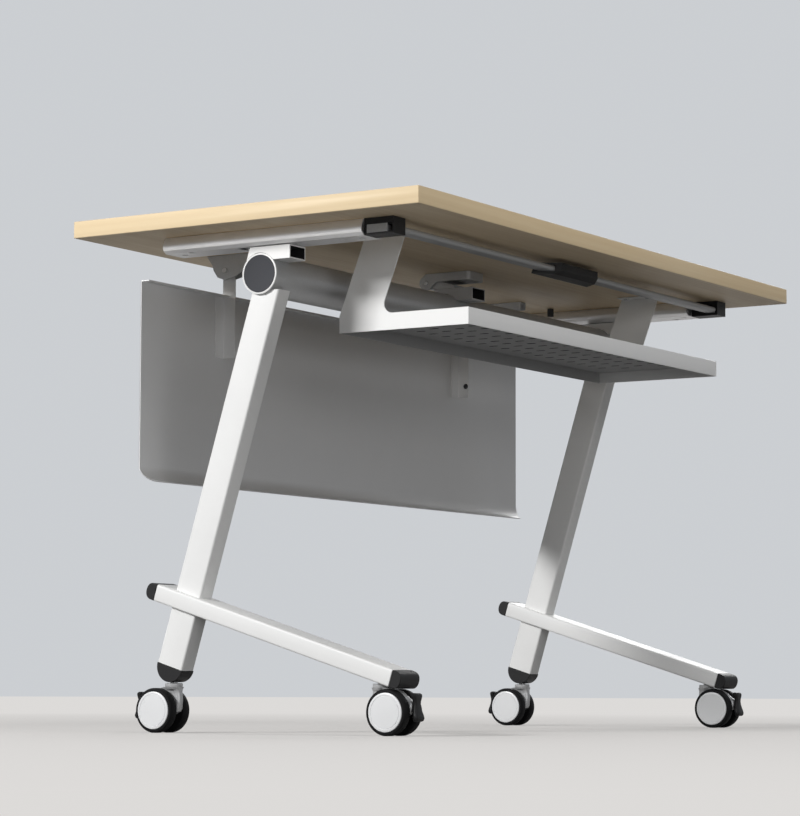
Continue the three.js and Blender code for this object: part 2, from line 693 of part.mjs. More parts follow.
function modestyPanel() {
  const outerFace = PANEL_Y + PANEL_SHEET / 2;
  const innerFace = PANEL_Y - PANEL_SHEET / 2;
  const cy = outerFace - PANEL_CURL_R;
  const curl = arc(cy, PANEL_CURL_Z, PANEL_CURL_R, 0, -PANEL_CURL_TURN, 12);
  const back = arc(cy, PANEL_CURL_Z, PANEL_CURL_R - PANEL_SHEET, -PANEL_CURL_TURN, 0, 12);
  const section = [
    [outerFace, PANEL_TOP],
    [outerFace - PANEL_LIP, PANEL_TOP],
    [outerFace - PANEL_LIP, PANEL_TOP - PANEL_SHEET],
    [innerFace, PANEL_TOP - PANEL_SHEET],
    ...back.reverse(),
    ...curl.reverse(),
  ];
  const sheet = prismX(section, -PANEL_HALF, PANEL_HALF);
  const low = PANEL_CURL_Z - PANEL_CURL_R * Math.sin(PANEL_CURL_TURN) - EPS;
  const r = PANEL_CORNER;
  const face = [
    ...arc(PANEL_HALF + EPS - r, low + r, r, -Math.PI / 2, 0, 8),
    [PANEL_HALF + EPS, PANEL_TOP + EPS],
    [-PANEL_HALF - EPS, PANEL_TOP + EPS],
    ...arc(-PANEL_HALF - EPS + r, low + r, r, Math.PI, Math.PI * 1.5, 8),
  ];
  const shaped = common(sheet, prismY(face, cy - PANEL_CURL_R, outerFace + EPS));
  const notches = SIDES.map(([, sign]) => block(
    sign * WEB_X - WEB_SHEET / 2 - GAP, sign * WEB_X + WEB_SHEET / 2 + GAP,
    outerFace - PANEL_LIP - EPS, innerFace - GAP, PANEL_TOP - PANEL_SHEET - EPS, PANEL_TOP + EPS,
  ));
  return cut(shaped, ...notches);
}

// An angle on the panel's face whose web rises to the swing pin it carries. Both turn the same way.
function panelHanger(sign) {
  const back = PANEL_Y - PANEL_SHEET / 2 - GAP;
  const lobe = arc(SWING_Y, SWING_Z, KNUCKLE_R, -Math.PI * 0.05, Math.PI * 1.05, 12);
  const web = [
    [WEB_FRONT, HANGER_LOW],
    [back, HANGER_LOW],
    [back, SWING_Z - KNUCKLE_R],
    ...lobe,
    [WEB_FRONT, SWING_Z - 1.5 * KNUCKLE_R],
  ];
  const x = sign * WEB_X;
  const plate = prismX(web, x - WEB_SHEET / 2, x + WEB_SHEET / 2);
  const flange = block(
    x - HANGER_WIDE, x + WEB_SHEET / 2, back - WEB_SHEET, back, HANGER_LOW, PANEL_TOP - PANEL_SHEET - GAP,
  );
  const reach = EAR_HALF_GAP + 2 * EAR_SHEET;
  const pin = barX(SWING_PIN_R, x - reach, x + reach, SWING_Y, SWING_Z, 24);
  return join(plate, flange, pin);
}

// A folded channel under the top, deeper at its rear where two cheeks hold the swing pin.
function panelEar(sign) {
  const shoulder = SEAT - EAR_SHOULDER;
  const cheek = [
    [EAR_FRONT, SEAT],
    [EAR_FRONT, shoulder],
    [SWING_Y - EAR_DEEP, shoulder],
    [SWING_Y - EAR_DEEP * 0.78, SEAT - EAR_DEEP * 0.72],
    [SWING_Y - EAR_DEEP * 0.54, SEAT - EAR_DEEP * 0.87],
    [SWING_Y, SEAT - EAR_DEEP],
    [SWING_Y + EAR_DEEP * 0.36, SEAT - EAR_DEEP * 0.87],
    [SWING_Y + EAR_DEEP * 0.55, SEAT - EAR_DEEP * 0.59],
    [SWING_Y + EAR_DEEP * 0.62, SEAT - EAR_DEEP * 0.36],
    [EAR_REAR, SEAT],
  ];
  const x = sign * WEB_X;
  const outer = EAR_HALF_GAP + EAR_SHEET;
  const body = prismX(cheek, x - outer, x + outer);
  const space = block(
    x - EAR_HALF_GAP, x + EAR_HALF_GAP, EAR_FRONT - EPS, EAR_REAR + EPS,
    SEAT - 2 * EAR_DEEP, SEAT - EAR_SHEET,
  );
  const pinHalf = outer + EPS;
  const hole = barX(SWING_PIN_R + GAP, x - pinHalf, x + pinHalf, SWING_Y, SWING_Z, 24);
  return cut(body, space, hole);
}

// Castor parts are drawn around the stem at the origin, with the wheel trailing toward +Y.
function castorFork() {
  const back = TRAIL + WHEEL_R + FORK_SPILL;
  const hood = WHEEL_R + FORK_SPILL;
  const web = prismX([
    [-COLLAR_R * 1.19, WHEEL_R * 0.95],
    [0, WHEEL_R * 0.8],
    [TRAIL / 2, WHEEL_R * 0.69],
    [TRAIL, WHEEL_R * 0.65],
    [TRAIL + WHEEL_R * 0.31, WHEEL_R * 0.71],
    [back - WHEEL_R * 0.25, WHEEL_R * 0.92],
    [back, WHEEL_R],
    [back, WHEEL_R + hood * 0.41],
    [TRAIL + hood * 0.78, WHEEL_R + hood * 0.56],
    [TRAIL + hood * 0.6, WHEEL_R + hood * 0.74],
    [TRAIL + hood * 0.33, WHEEL_R + hood * 0.9],
    [TRAIL, WHEEL_R + hood * 0.985],
    [COLLAR_R, COLLAR_HIGH - COLLAR_SINK],
    [-COLLAR_R, COLLAR_HIGH - COLLAR_SINK],
    [-COLLAR_R * 1.12, WHEEL_R * 1.42],
  ], -FORK_HALF, FORK_HALF);
  const collar = barZ(COLLAR_R, 0, 0, COLLAR_LOW, COLLAR_HIGH, 32);
  const stem = barZ(STEM_R, 0, 0, COLLAR_HIGH - COLLAR_SINK, STEM_TOP, 24);
  const axle = barX(AXLE_R + GAP, -FORK_HALF - EPS, FORK_HALF + EPS, TRAIL, WHEEL_R, 24);
  return cut(join(web, collar, stem), axle);
}

function turnedX(points, segments) {
  const lathe = new THREE.LatheGeometry(points.map(([x, r]) => new THREE.Vector2(r, x)), segments);
  return lathe.rotateZ(-Math.PI / 2);
}

function castorWheel() {
  const half = [
    [WHEEL_IN, AXLE_R],
    [WHEEL_IN, WHEEL_R - WHEEL_EDGE],
    [WHEEL_IN + WHEEL_EDGE, WHEEL_R],
    [WHEEL_OUT - WHEEL_EDGE, WHEEL_R],
    [WHEEL_OUT, WHEEL_R - WHEEL_EDGE],
    [WHEEL_OUT, COVER_R + GAP],
    [COVER_SEAT, COVER_R + GAP],
    [COVER_SEAT, 0],
  ];
  const other = half.map(([x, r]) => [-x, r]).reverse();
  return toGeometry(toSolid(turnedX([...other, ...half], 36))).translate(0, TRAIL, WHEEL_R);
}

function castorCover(side) {
  const cover = [
    [COVER_SEAT + GAP, 0],
    [COVER_SEAT + GAP, COVER_R],
    [COVER_OUT - COVER_EDGE, COVER_R],
    [COVER_OUT, COVER_R - 2 * COVER_EDGE],
    [COVER_OUT + COVER_DOME, 0],
  ];
  const disc = toGeometry(toSolid(turnedX(cover, 32)));
  return (side > 0 ? disc : disc.rotateZ(Math.PI)).translate(0, TRAIL, WHEEL_R);
}

// A rocker with a pad above and a pad below, waisted where it passes the wheels' edge.
function castorPedal() {
  const side = [
    [WHEEL_R * 1.05, WHEEL_R * 1.42],
    [WHEEL_R * 1.05, WHEEL_R * 0.92],
    [WHEEL_R * 1.11, WHEEL_R * 0.63],
    [WHEEL_R * 1.29, WHEEL_R * 0.615],
    [WHEEL_R * 1.37, WHEEL_R * 0.74],
    [WHEEL_R * 1.23, WHEEL_R * 1.35],
    [WHEEL_R * 1.26, WHEEL_R * 1.75],
    [WHEEL_R * 1.11, WHEEL_R * 1.83],
    [WHEEL_R * 0.954, WHEEL_R * 1.77],
  ];
  return prismX(side.map(([y, z]) => [y + TRAIL, z]), -PEDAL_HALF, PEDAL_HALF);
}

function addCastor(place, x, y, turn) {
  const castor = new THREE.Group();
  castor.position.set(x, y, 0);
  castor.rotation.z = turn;
  table.add(castor);
  addPart(`castor_fork_${place}`, castorFork(), FORK_GREY, castor);
  addPart(`castor_wheel_${place}`, castorWheel(), BLACK, castor);
  addPart(`castor_cover_a_${place}`, castorCover(-1), COVER_WHITE, castor);
  addPart(`castor_cover_b_${place}`, castorCover(1), COVER_WHITE, castor);
  addPart(`castor_pedal_${place}`, castorPedal(), BLACK, castor);
}

addPart('tabletop', topBoard(), MAPLE);
addPart('crossbeam', crossbeam(), SILVER);
addPart('stub_middle', stub(0), SILVER);
addPart('hinge_knuckle_middle', knuckle(0, MID_KNUCKLE_HALF), SILVER);
addPart('hinge_bracket_middle', middleBracket(), SILVER);
addPart('hinge_pin_middle', hingePin(0, BRACKET_HALF + PIN_PROUD), STEEL);
addPart('release_bar', releaseBar(), SILVER);
addPart('release_handle', handle(), BLACK);
addPart('tray_shelf', trayShelf(), WHITE);
addPart('modesty_panel', modestyPanel(), PANEL_GREY);

for (const [side, sign] of SIDES) {
  const x = sign * SIDE_X;
  addPart(`crossbeam_plug_${side}`, beamPlug(sign), DARK_GREY);
  addPart(`leg_${side}`, leg(sign), WHITE);
  addPart(`leg_cap_${side}`, legCap(sign), BLACK);
  addPart(`foot_rail_${side}`, rail(sign), WHITE);
  addPart(`rail_cap_rear_${side}`, railCap(sign, 1), BLACK);
  addPart(`rail_cap_front_${side}`, railCap(sign, -1), BLACK);
  addPart(`stub_${side}`, stub(x), WHITE);
  addPart(`hinge_knuckle_${side}`, knuckle(x, SIDE_KNUCKLE_HALF), SILVER);
  addPart(`arm_${side}`, arm(x), SILVER);
  addPart(`hinge_pin_${side}`, hingePin(x, SIDE_KNUCKLE_HALF + LUG_THICK), STEEL);
  addPart(`arm_cap_${side}`, armCap(sign), BLACK);
  addPart(`tray_side_${side}`, traySide(sign), WHITE);
  addPart(`panel_hanger_${side}`, panelHanger(sign), SILVER);
  addPart(`panel_ear_${side}`, panelEar(sign), SILVER);
  const bumper = barZ(BUMPER_R, sign * BUMPER_X, BUMPER_Y, SEAT - BUMPER_TALL, SEAT);
  addPart(`bumper_${side}`, bumper, BLACK);
  addCastor(`rear_${side}`, x, REAR_STEM_Y, 0);
  addCastor(`front_${side}`, x, FRONT_STEM_Y, Math.PI);
}

export default table;
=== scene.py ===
"""Flip top training table: finishes, rounded pieces, screws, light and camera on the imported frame."""

from __future__ import annotations

import json
import logging
import math
from dataclasses import dataclass
from enum import Enum
from functools import cache
from typing import Iterable, Sequence

import bmesh
import bpy
from mathutils import Matrix, Vector


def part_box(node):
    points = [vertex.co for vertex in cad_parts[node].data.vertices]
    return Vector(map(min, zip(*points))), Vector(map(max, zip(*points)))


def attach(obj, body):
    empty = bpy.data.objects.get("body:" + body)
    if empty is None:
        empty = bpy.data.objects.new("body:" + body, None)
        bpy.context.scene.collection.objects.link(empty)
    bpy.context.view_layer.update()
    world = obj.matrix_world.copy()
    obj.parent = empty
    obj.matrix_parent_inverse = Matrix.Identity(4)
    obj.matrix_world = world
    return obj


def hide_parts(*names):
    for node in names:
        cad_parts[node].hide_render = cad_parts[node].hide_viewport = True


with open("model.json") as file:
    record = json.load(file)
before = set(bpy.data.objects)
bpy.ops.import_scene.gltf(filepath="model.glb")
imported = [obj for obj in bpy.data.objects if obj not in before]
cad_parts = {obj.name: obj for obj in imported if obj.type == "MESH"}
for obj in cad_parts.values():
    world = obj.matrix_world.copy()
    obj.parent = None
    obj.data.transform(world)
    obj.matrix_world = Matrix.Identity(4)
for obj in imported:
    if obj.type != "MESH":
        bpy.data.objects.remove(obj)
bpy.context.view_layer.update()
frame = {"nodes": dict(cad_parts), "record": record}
log = logging.getLogger("table")

Colour = tuple[float, float, float]
Point = tuple[float, float, float]
Span = tuple[float, float]
Outline = list[Span]
Mesh = bpy.types.Mesh
BMesh = bmesh.types.BMesh
Socket = bpy.types.NodeSocket
Sockets = dict[str, Socket]

# Lengths are in metres. Points nearer than WELD become one, and a turned profile ends AXIS from its axis.
MM = 0.001
WELD = 1e-6
AXIS = 0.5 * MM
SHARP_ANGLE = math.radians(32.0)
FLAT_ANGLE = math.radians(0.6)
CORNER_STEPS = 5
EASE_STEPS = 3

# Most of a noise lies in NOISE_SPAN, a mask runs over UNIT, and a steep face has a normal that rises less
# than STEEP.
NOISE_SPAN: Span = (0.3, 0.7)
UNIT: Span = (0.0, 1.0)
STEEP = 0.5
MOTTLE_SPAN: Span = (0.978, 1.014)
FLECK_SPAN: Span = (0.58, 0.68)
DUST_COLOUR = (0.5, 0.48, 0.45, 1.0)
DUST_FACE_SPAN: Span = (0.35, 0.95)
DUST_PATCH_SPAN: Span = (0.4, 0.7)
DUST_PATCH_DEPTH: Span = (0.25, 1.0)

SIDES: dict[str, int] = {"left": -1, "right": 1}
ENDS: tuple[str, ...] = ("rear", "front")
NODE_BODY: dict[str, str] = {
    node: body for body, nodes in frame["record"]["behaviour"]["bodies"].items() for node in nodes
}
NODE_SLOT: dict[str, str] = {part["node"]: part["material_slot"] for part in frame["record"]["subparts"]}


class Facing(Enum):
    """Ways that a screw's head can point."""

    DOWN = (0.0, 0.0, -1.0)
    LEFT = (-1.0, 0.0, 0.0)


class TreeKind(Enum):
    """Kinds of node tree that are shared or run on a mesh."""

    SHADER = "ShaderNodeTree"
    GEOMETRY = "GeometryNodeTree"


class SocketKind(Enum):
    """Kinds of socket on those trees."""

    COLOUR = "NodeSocketColor"
    VALUE = "NodeSocketFloat"
    SHAPE = "NodeSocketGeometry"


class Brushing(Enum):
    """How fine a metal's lines are along X, Y and Z: they run where the number is small."""

    ALONG_X = (6.0, 900.0, 900.0)
    ALONG_Y = (900.0, 6.0, 900.0)
    EVEN = (900.0, 900.0, 900.0)


class NodeKit:
    """A node tree with short calls that add, set and link its nodes."""

    def __init__(self, tree: bpy.types.NodeTree) -> None:
        """Keeps the tree that nodes are added to."""
        self.tree = tree

    def add(self, kind: str, setup: dict[str, object] | None = None, **values: object) -> bpy.types.Node:
        """Adds a node, sets its properties, and sets or links its inputs.

        Args:
            kind: The node's bl_idname.
            setup: Properties of the node, by name.
            values: Input names, with spaces written as underscores, and their values.

        Returns:
            The new node.
        """
        node = self.tree.nodes.new(kind)
        for name, value in (setup or {}).items():
            setattr(node, name, value)
        self.feed(node, **values)
        return node

    def feed(self, node: bpy.types.Node, **values: object) -> None:
        """Sets or links a node's inputs by name.

        Args:
            node: The node whose inputs are set.
            values: Input names, with spaces written as underscores, and their values.
        """
        for name, value in values.items():
            self.put(node.inputs[name.replace("_", " ")], value)

    def put(self, target: Socket, value: object) -> None:
        """Links an input when the value is a socket, and sets it otherwise.

        Args:
            target: The input.
            value: A socket or a plain value.
        """
        if isinstance(value, Socket):
            self.tree.links.new(value, target)
        else:
            target.default_value = value

    def run(self, kind: str, *inputs: object, setup: dict[str, object] | None = None) -> Socket:
        """Adds a node, sets or links its first inputs in order, and gives its first output.

        Args:
            kind: The node's bl_idname.
            inputs: Sockets or plain values.
            setup: Properties of the node, by name.

        Returns:
            The output.
        """
        node = self.add(kind, setup)
        for target, value in zip(node.inputs, inputs):
            self.put(target, value)
        return node.outputs[0]

    def math(self, operation: str, *values: object) -> Socket:
        """Reckons with sockets and numbers."""
        return self.run("ShaderNodeMath", *values, setup={"operation": operation})

    def mix(self, factor: object, first: object, second: object) -> Socket:
        """Mixes two colours.

        Args:
            factor: A socket or a number from 0 to 1.
            first: A socket or a colour shown at 0.
            second: A socket or a colour shown at 1.

        Returns:
            The mixed colour.
        """
        node = self.add("ShaderNodeMix", {"data_type": "RGBA"})
        for index, value in ((0, factor), (6, first), (7, second)):
            self.put(node.inputs[index], (*value, 1.0) if isinstance(value, tuple) else value)
        return node.outputs[2]

    def spread(self, value: Socket, span: Span, onto: tuple[object, object]) -> Socket:
        """Maps one span of a value onto another, clamped."""
        return self.run("ShaderNodeMapRange", value, *span, *onto)

    def noise(self, where: Socket, scale: object, detail: float, rough: float) -> Socket:
        """Gives a noise near 0.5 on average, with a number of octaves and the finer ones' strength."""
        node = self.add("ShaderNodeTexNoise", Vector=where, Scale=scale, Detail=detail, Roughness=rough)
        return node.outputs[0]

    def where(self) -> Socket:
        """Gives the Object coordinates."""
        return self.add("ShaderNodeTexCoord").outputs["Object"]

    def streaks(self, fineness: Point, detail: float, rough: float) -> Socket:
        """Gives a noise with its own fineness along X, Y and Z."""
        where = self.add("ShaderNodeMapping", Vector=self.where(), Scale=fineness).outputs[0]
        return self.noise(where, scale=1.0, detail=detail, rough=rough)

    def split(self, vector: Socket) -> Sequence[Socket]:
        """Gives a vector's X, Y and Z."""
        return self.add("ShaderNodeSeparateXYZ", Vector=vector).outputs

    def vector(self, x: object = 0.0, y: object = 0.0, z: object = 0.0) -> Socket:
        """Puts a vector together from sockets and numbers."""
        return self.run("ShaderNodeCombineXYZ", x, y, z)

    def upness(self) -> Socket:
        """Gives 1 on a face that looks up, 0 on an upright one and -1 on one that looks down."""
        return self.split(self.add("ShaderNodeTexCoord").outputs["Normal"])[2]

    def steep(self) -> Socket:
        """Gives 1 on a steep face and 0 on a level one."""
        return self.math("LESS_THAN", self.math("ABSOLUTE", self.upness()), STEEP)

    def apart(self, first: object, second: object) -> Socket:
        """Gives how far apart two values are."""
        return self.math("ABSOLUTE", self.math("SUBTRACT", first, second))

    def from_middle(self, index: Socket, count: Socket) -> Socket:
        """Counts an index from the middle of a row."""
        middle = self.math("MULTIPLY", self.math("SUBTRACT", count, 1.0), 0.5)
        return self.math("SUBTRACT", index, middle)

    def bump(self, height: Socket, strength: float, distance: float) -> Socket:
        """Turns a height into a bumped normal, with the bump's share and its height in metres."""
        return self.add("ShaderNodeBump", Height=height, Strength=strength, Distance=distance).outputs[0]

    def join(self, *parts: Socket) -> Socket:
        """Joins pieces of geometry.

        Args:
            parts: The pieces.

        Returns:
            The joined geometry.
        """
        node = self.add("GeometryNodeJoinGeometry")
        for part in parts:
            self.put(node.inputs[0], part)
        return node.outputs[0]


def empty_tree(
    name: str, kind: TreeKind, inputs: dict[str, SocketKind], outputs: dict[str, SocketKind],
) -> tuple[NodeKit, Sockets, Sockets]:
    """Makes an empty node tree with its sockets.

    Args:
        name: The tree's name.
        kind: The tree's kind.
        inputs: Input names and their kinds.
        outputs: Output names and their kinds.
    """
    tree = bpy.data.node_groups.new(name, kind.value)
    for way, labels in (("INPUT", inputs), ("OUTPUT", outputs)):
        for label, socket in labels.items():
            tree.interface.new_socket(label, in_out=way, socket_type=socket.value)
    kit = NodeKit(tree)
    source = kit.add("NodeGroupInput")
    target = kit.add("NodeGroupOutput")
    given = {label: source.outputs[label] for label in inputs}
    return kit, given, {label: target.inputs[label] for label in outputs}


@cache
def coat_group() -> bpy.types.NodeTree:
    """Makes the group of sprayed and moulded skins: a faint mottle, an uneven gloss and a fine pebble.

    Returns:
        A group with Color, Roughness and Height outputs.
    """
    colour, value = SocketKind.COLOUR, SocketKind.VALUE
    kit, given, out = empty_tree(
        "sprayed_skin", TreeKind.SHADER,
        {
            "Color": colour, "Fleck": colour, "Fleck Amount": value, "Pebble Scale": value,
            "Gloss Low": value, "Gloss High": value,
        },
        {"Color": colour, "Roughness": value, "Height": value},
    )
    where = kit.where()
    cloud = kit.noise(where, scale=9.0, detail=4.0, rough=0.6)
    speck = kit.spread(kit.noise(where, scale=900.0, detail=2.0, rough=0.5), FLECK_SPAN, UNIT)
    flecked = kit.mix(kit.math("MULTIPLY", speck, given["Fleck Amount"]), given["Color"], given["Fleck"])
    tone = kit.spread(cloud, NOISE_SPAN, MOTTLE_SPAN)
    gloss = kit.spread(cloud, NOISE_SPAN, (given["Gloss Low"], given["Gloss High"]))
    kit.put(out["Color"], kit.add("ShaderNodeHueSaturation", Color=flecked, Value=tone).outputs[0])
    kit.put(out["Roughness"], gloss)
    kit.put(out["Height"], kit.noise(where, scale=given["Pebble Scale"], detail=3.0, rough=0.55))
    return kit.tree


@cache
def dust_group() -> bpy.types.NodeTree:
    """Makes the group of dust that settles thinly on faces that look up.

    Returns:
        A group with a Color output.
    """
    colour, value = SocketKind.COLOUR, SocketKind.VALUE
    kit, given, out = empty_tree(
        "settled_dust", TreeKind.SHADER, {"Color": colour, "Dust": colour, "Amount": value},
        {"Color": colour},
    )
    upward = kit.spread(kit.upness(), DUST_FACE_SPAN, UNIT)
    cloud = kit.noise(kit.where(), scale=26.0, detail=5.0, rough=0.62)
    patch = kit.spread(cloud, DUST_PATCH_SPAN, DUST_PATCH_DEPTH)
    amount = kit.math("MULTIPLY", kit.math("MULTIPLY", upward, patch), given["Amount"])
    kit.put(out["Color"], kit.mix(amount, given["Color"], given["Dust"]))
    return kit.tree


def new_material(name: str) -> tuple[bpy.types.Material, NodeKit, bpy.types.Node]:
    """Makes a material with its Principled shader.

    Args:
        name: The material's name.

    Returns:
        The material, its node kit and the Principled node.
    """
    material = bpy.data.materials.new(name)
    material.use_nodes = True
    kit = NodeKit(material.node_tree)
    return material, kit, material.node_tree.nodes["Principled BSDF"]


@dataclass(frozen=True)
class SkinFinish:
    """A powder coat or a moulded plastic skin."""

    name: str
    colour: Colour
    fleck: Colour
    fleck_amount: float
    gloss: Span
    pebble_scale: float = 1500.0
    pebble_height: float = 0.06 * MM
    pebble_share: float = 0.5
    metallic: float = 0.0
    specular: float = 0.5
    dust: float = 0.0
    # Painted shade: a near-black colour for steep faces, standing in for the shade inside slots, or None.
    steep_face_shade: Colour | None = None

    def material(self) -> bpy.types.Material:
        """Builds the finish's material from the shared groups.

        Returns:
            The material.
        """
        material, kit, shader = new_material(self.name)
        skin = kit.add(
            "ShaderNodeGroup", {"node_tree": coat_group()}, Color=(*self.colour, 1.0),
            Fleck=(*self.fleck, 1.0), Fleck_Amount=self.fleck_amount, Pebble_Scale=self.pebble_scale,
            Gloss_Low=self.gloss[0], Gloss_High=self.gloss[1],
        )
        colour = skin.outputs["Color"]
        if self.dust > 0.0:
            dust = {"node_tree": dust_group()}
            colour = kit.run("ShaderNodeGroup", colour, DUST_COLOUR, self.dust, setup=dust)
        # Painted shade: steep faces, such as the walls of the shelf's slots, are mixed to a near-black
        # colour as if in shade.
        if self.steep_face_shade is not None:
            colour = kit.mix(kit.steep(), colour, self.steep_face_shade)
        kit.feed(
            shader, Base_Color=colour, Roughness=skin.outputs["Roughness"],
            Normal=kit.bump(skin.outputs["Height"], self.pebble_share, self.pebble_height),
            Metallic=self.metallic, Specular_IOR_Level=self.specular,
        )
        return material


@dataclass(frozen=True)
class BrushedFinish:
    """Drawn or extruded metal with fine lines along one axis."""

    name: str
    colour: Colour
    line_colour: Colour
    brushing: Brushing
    gloss: Span
    metallic: float
    line_span: Span = (0.35, 0.65)
    line_height: float = 0.2 * MM
    line_share: float = 0.25

    def material(self) -> bpy.types.Material:
        """Builds the finish's material.

        Returns:
            The material.
        """
        material, kit, shader = new_material(self.name)
        line = kit.streaks(self.brushing.value, detail=4.0, rough=0.6)
        tone = kit.spread(line, self.line_span, UNIT)
        kit.feed(
            shader, Base_Color=kit.mix(tone, self.colour, self.line_colour),
            Roughness=kit.spread(line, NOISE_SPAN, self.gloss),
            Normal=kit.bump(line, self.line_share, self.line_height), Metallic=self.metallic,
        )
        return material


@dataclass(frozen=True)
class MapleFinish:
    """Pale maple laminate with a matching edge band and a fine glue line beside it."""

    name: str = "maple_laminate"
    pale: Colour = (0.79, 0.65, 0.46)
    deep: Colour = (0.67, 0.53, 0.355)
    pore: Colour = (0.5, 0.37, 0.23)
    band_pale: Colour = (0.85, 0.685, 0.44)
    band_deep: Colour = (0.755, 0.585, 0.36)
    seam: Colour = (0.5, 0.37, 0.22)
    seam_width: float = 0.25 * MM
    seam_amount: float = 0.55
    skin: float = 0.9 * MM
    drift_fineness: Point = (1.1, 17.0, 17.0)
    drift_share: float = 0.65
    streak_fineness: Point = (3.0, 120.0, 120.0)
    grain_span: Span = (0.36, 0.64)
    pore_fineness: Point = (28.0, 900.0, 900.0)
    pore_span: Span = (0.62, 0.74)
    pore_depth: Span = (0.0, 0.5)
    band_along: float = 2.4
    band_across: float = 130.0
    band_depth: Span = (0.2, 0.8)
    gloss: Span = (0.42, 0.58)
    specular: float = 0.25
    relief: float = 0.15 * MM
    relief_share: float = 0.2

    def face(self, kit: NodeKit, streak: Socket) -> Socket:
        """Colours the broad faces, with the grain along the board's length.

        Args:
            kit: The material's kit.
            streak: The grain's fine streaks.

        Returns:
            The colour.
        """
        drift = kit.streaks(self.drift_fineness, detail=5.0, rough=0.55)
        grain = kit.math(
            "ADD", kit.math("MULTIPLY", drift, self.drift_share),
            kit.math("MULTIPLY", streak, 1.0 - self.drift_share),
        )
        tone = kit.spread(grain, self.grain_span, UNIT)
        pores = kit.streaks(self.pore_fineness, detail=2.0, rough=0.5)
        pore = kit.spread(pores, self.pore_span, self.pore_depth)
        return kit.mix(pore, kit.mix(tone, self.pale, self.deep), self.pore)

    def edge(self, kit: NodeKit, line: Socket, height: Socket) -> Socket:
        """Colours the edge band and the glue line on both sides of it.

        Args:
            kit: The material's kit.
            line: The band's own grain.
            height: Height in the frame.

        Returns:
            The colour.
        """
        band = kit.mix(line, self.band_pale, self.band_deep)
        middle, size = spans("tabletop")
        from_seam = kit.apart(kit.apart(height, middle.z), size.z / 2 - self.skin)
        seam = kit.math("LESS_THAN", from_seam, self.seam_width / 2)
        return kit.mix(kit.math("MULTIPLY", seam, self.seam_amount), band, self.seam)

    def material(self) -> bpy.types.Material:
        """Builds the laminate.

        Returns:
            The material.
        """
        material, kit, shader = new_material(self.name)
        streak = kit.streaks(self.streak_fineness, detail=4.0, rough=0.6)
        x, y, z = kit.split(kit.where())
        strip = kit.vector(
            kit.math("MULTIPLY", kit.math("ADD", x, y), self.band_along),
            kit.math("MULTIPLY", z, self.band_across),
        )
        band = kit.noise(strip, scale=1.0, detail=4.0, rough=0.55)
        line = kit.spread(band, NOISE_SPAN, self.band_depth)
        on_edge = kit.steep()
        relief = kit.mix(on_edge, streak, line)
        kit.feed(
            shader, Base_Color=kit.mix(on_edge, self.face(kit, streak), self.edge(kit, line, z)),
            Roughness=kit.spread(relief, NOISE_SPAN, self.gloss),
            Normal=kit.bump(relief, self.relief_share, self.relief), Specular_IOR_Level=self.specular,
        )
        return material


@dataclass(frozen=True)
class StageFinish:
    """A plain pale ground that shows evenly to the camera and bounces only a little light."""

    name: str = "floor"
    shown: Colour = (0.72, 0.705, 0.69)
    mirrored: Colour = (0.8, 0.785, 0.77)
    bounced: Colour = (0.13, 0.13, 0.13)
    fade: Span = (0.9, 2.6)
    glow_near: float = 0.4
    roughness: float = 0.85

    def material(self) -> bpy.types.Material:
        """Builds the ground's material.

        Returns:
            The material.
        """
        material, kit, shader = new_material(self.name)
        path = kit.add("ShaderNodeLightPath")
        seen = path.outputs["Is Camera Ray"]
        unseen = kit.mix(path.outputs["Is Glossy Ray"], self.bounced, self.mirrored)
        away = kit.add("ShaderNodeVectorMath", {"operation": "LENGTH"}, Vector=kit.where())
        bright = kit.spread(away.outputs["Value"], self.fade, (self.glow_near, 1.0))
        glow = kit.math("MULTIPLY", seen, bright)
        lit = kit.mix(glow, kit.mix(seen, unseen, self.shown), (0.0, 0.0, 0.0))
        kit.feed(
            shader, Base_Color=lit, Roughness=self.roughness, Specular_IOR_Level=0.0,
            Emission_Color=(*self.shown, 1.0), Emission_Strength=glow,
        )
        return material


def grey(tone: float) -> Colour:
    """Gives a neutral colour."""
    return tone, tone, tone


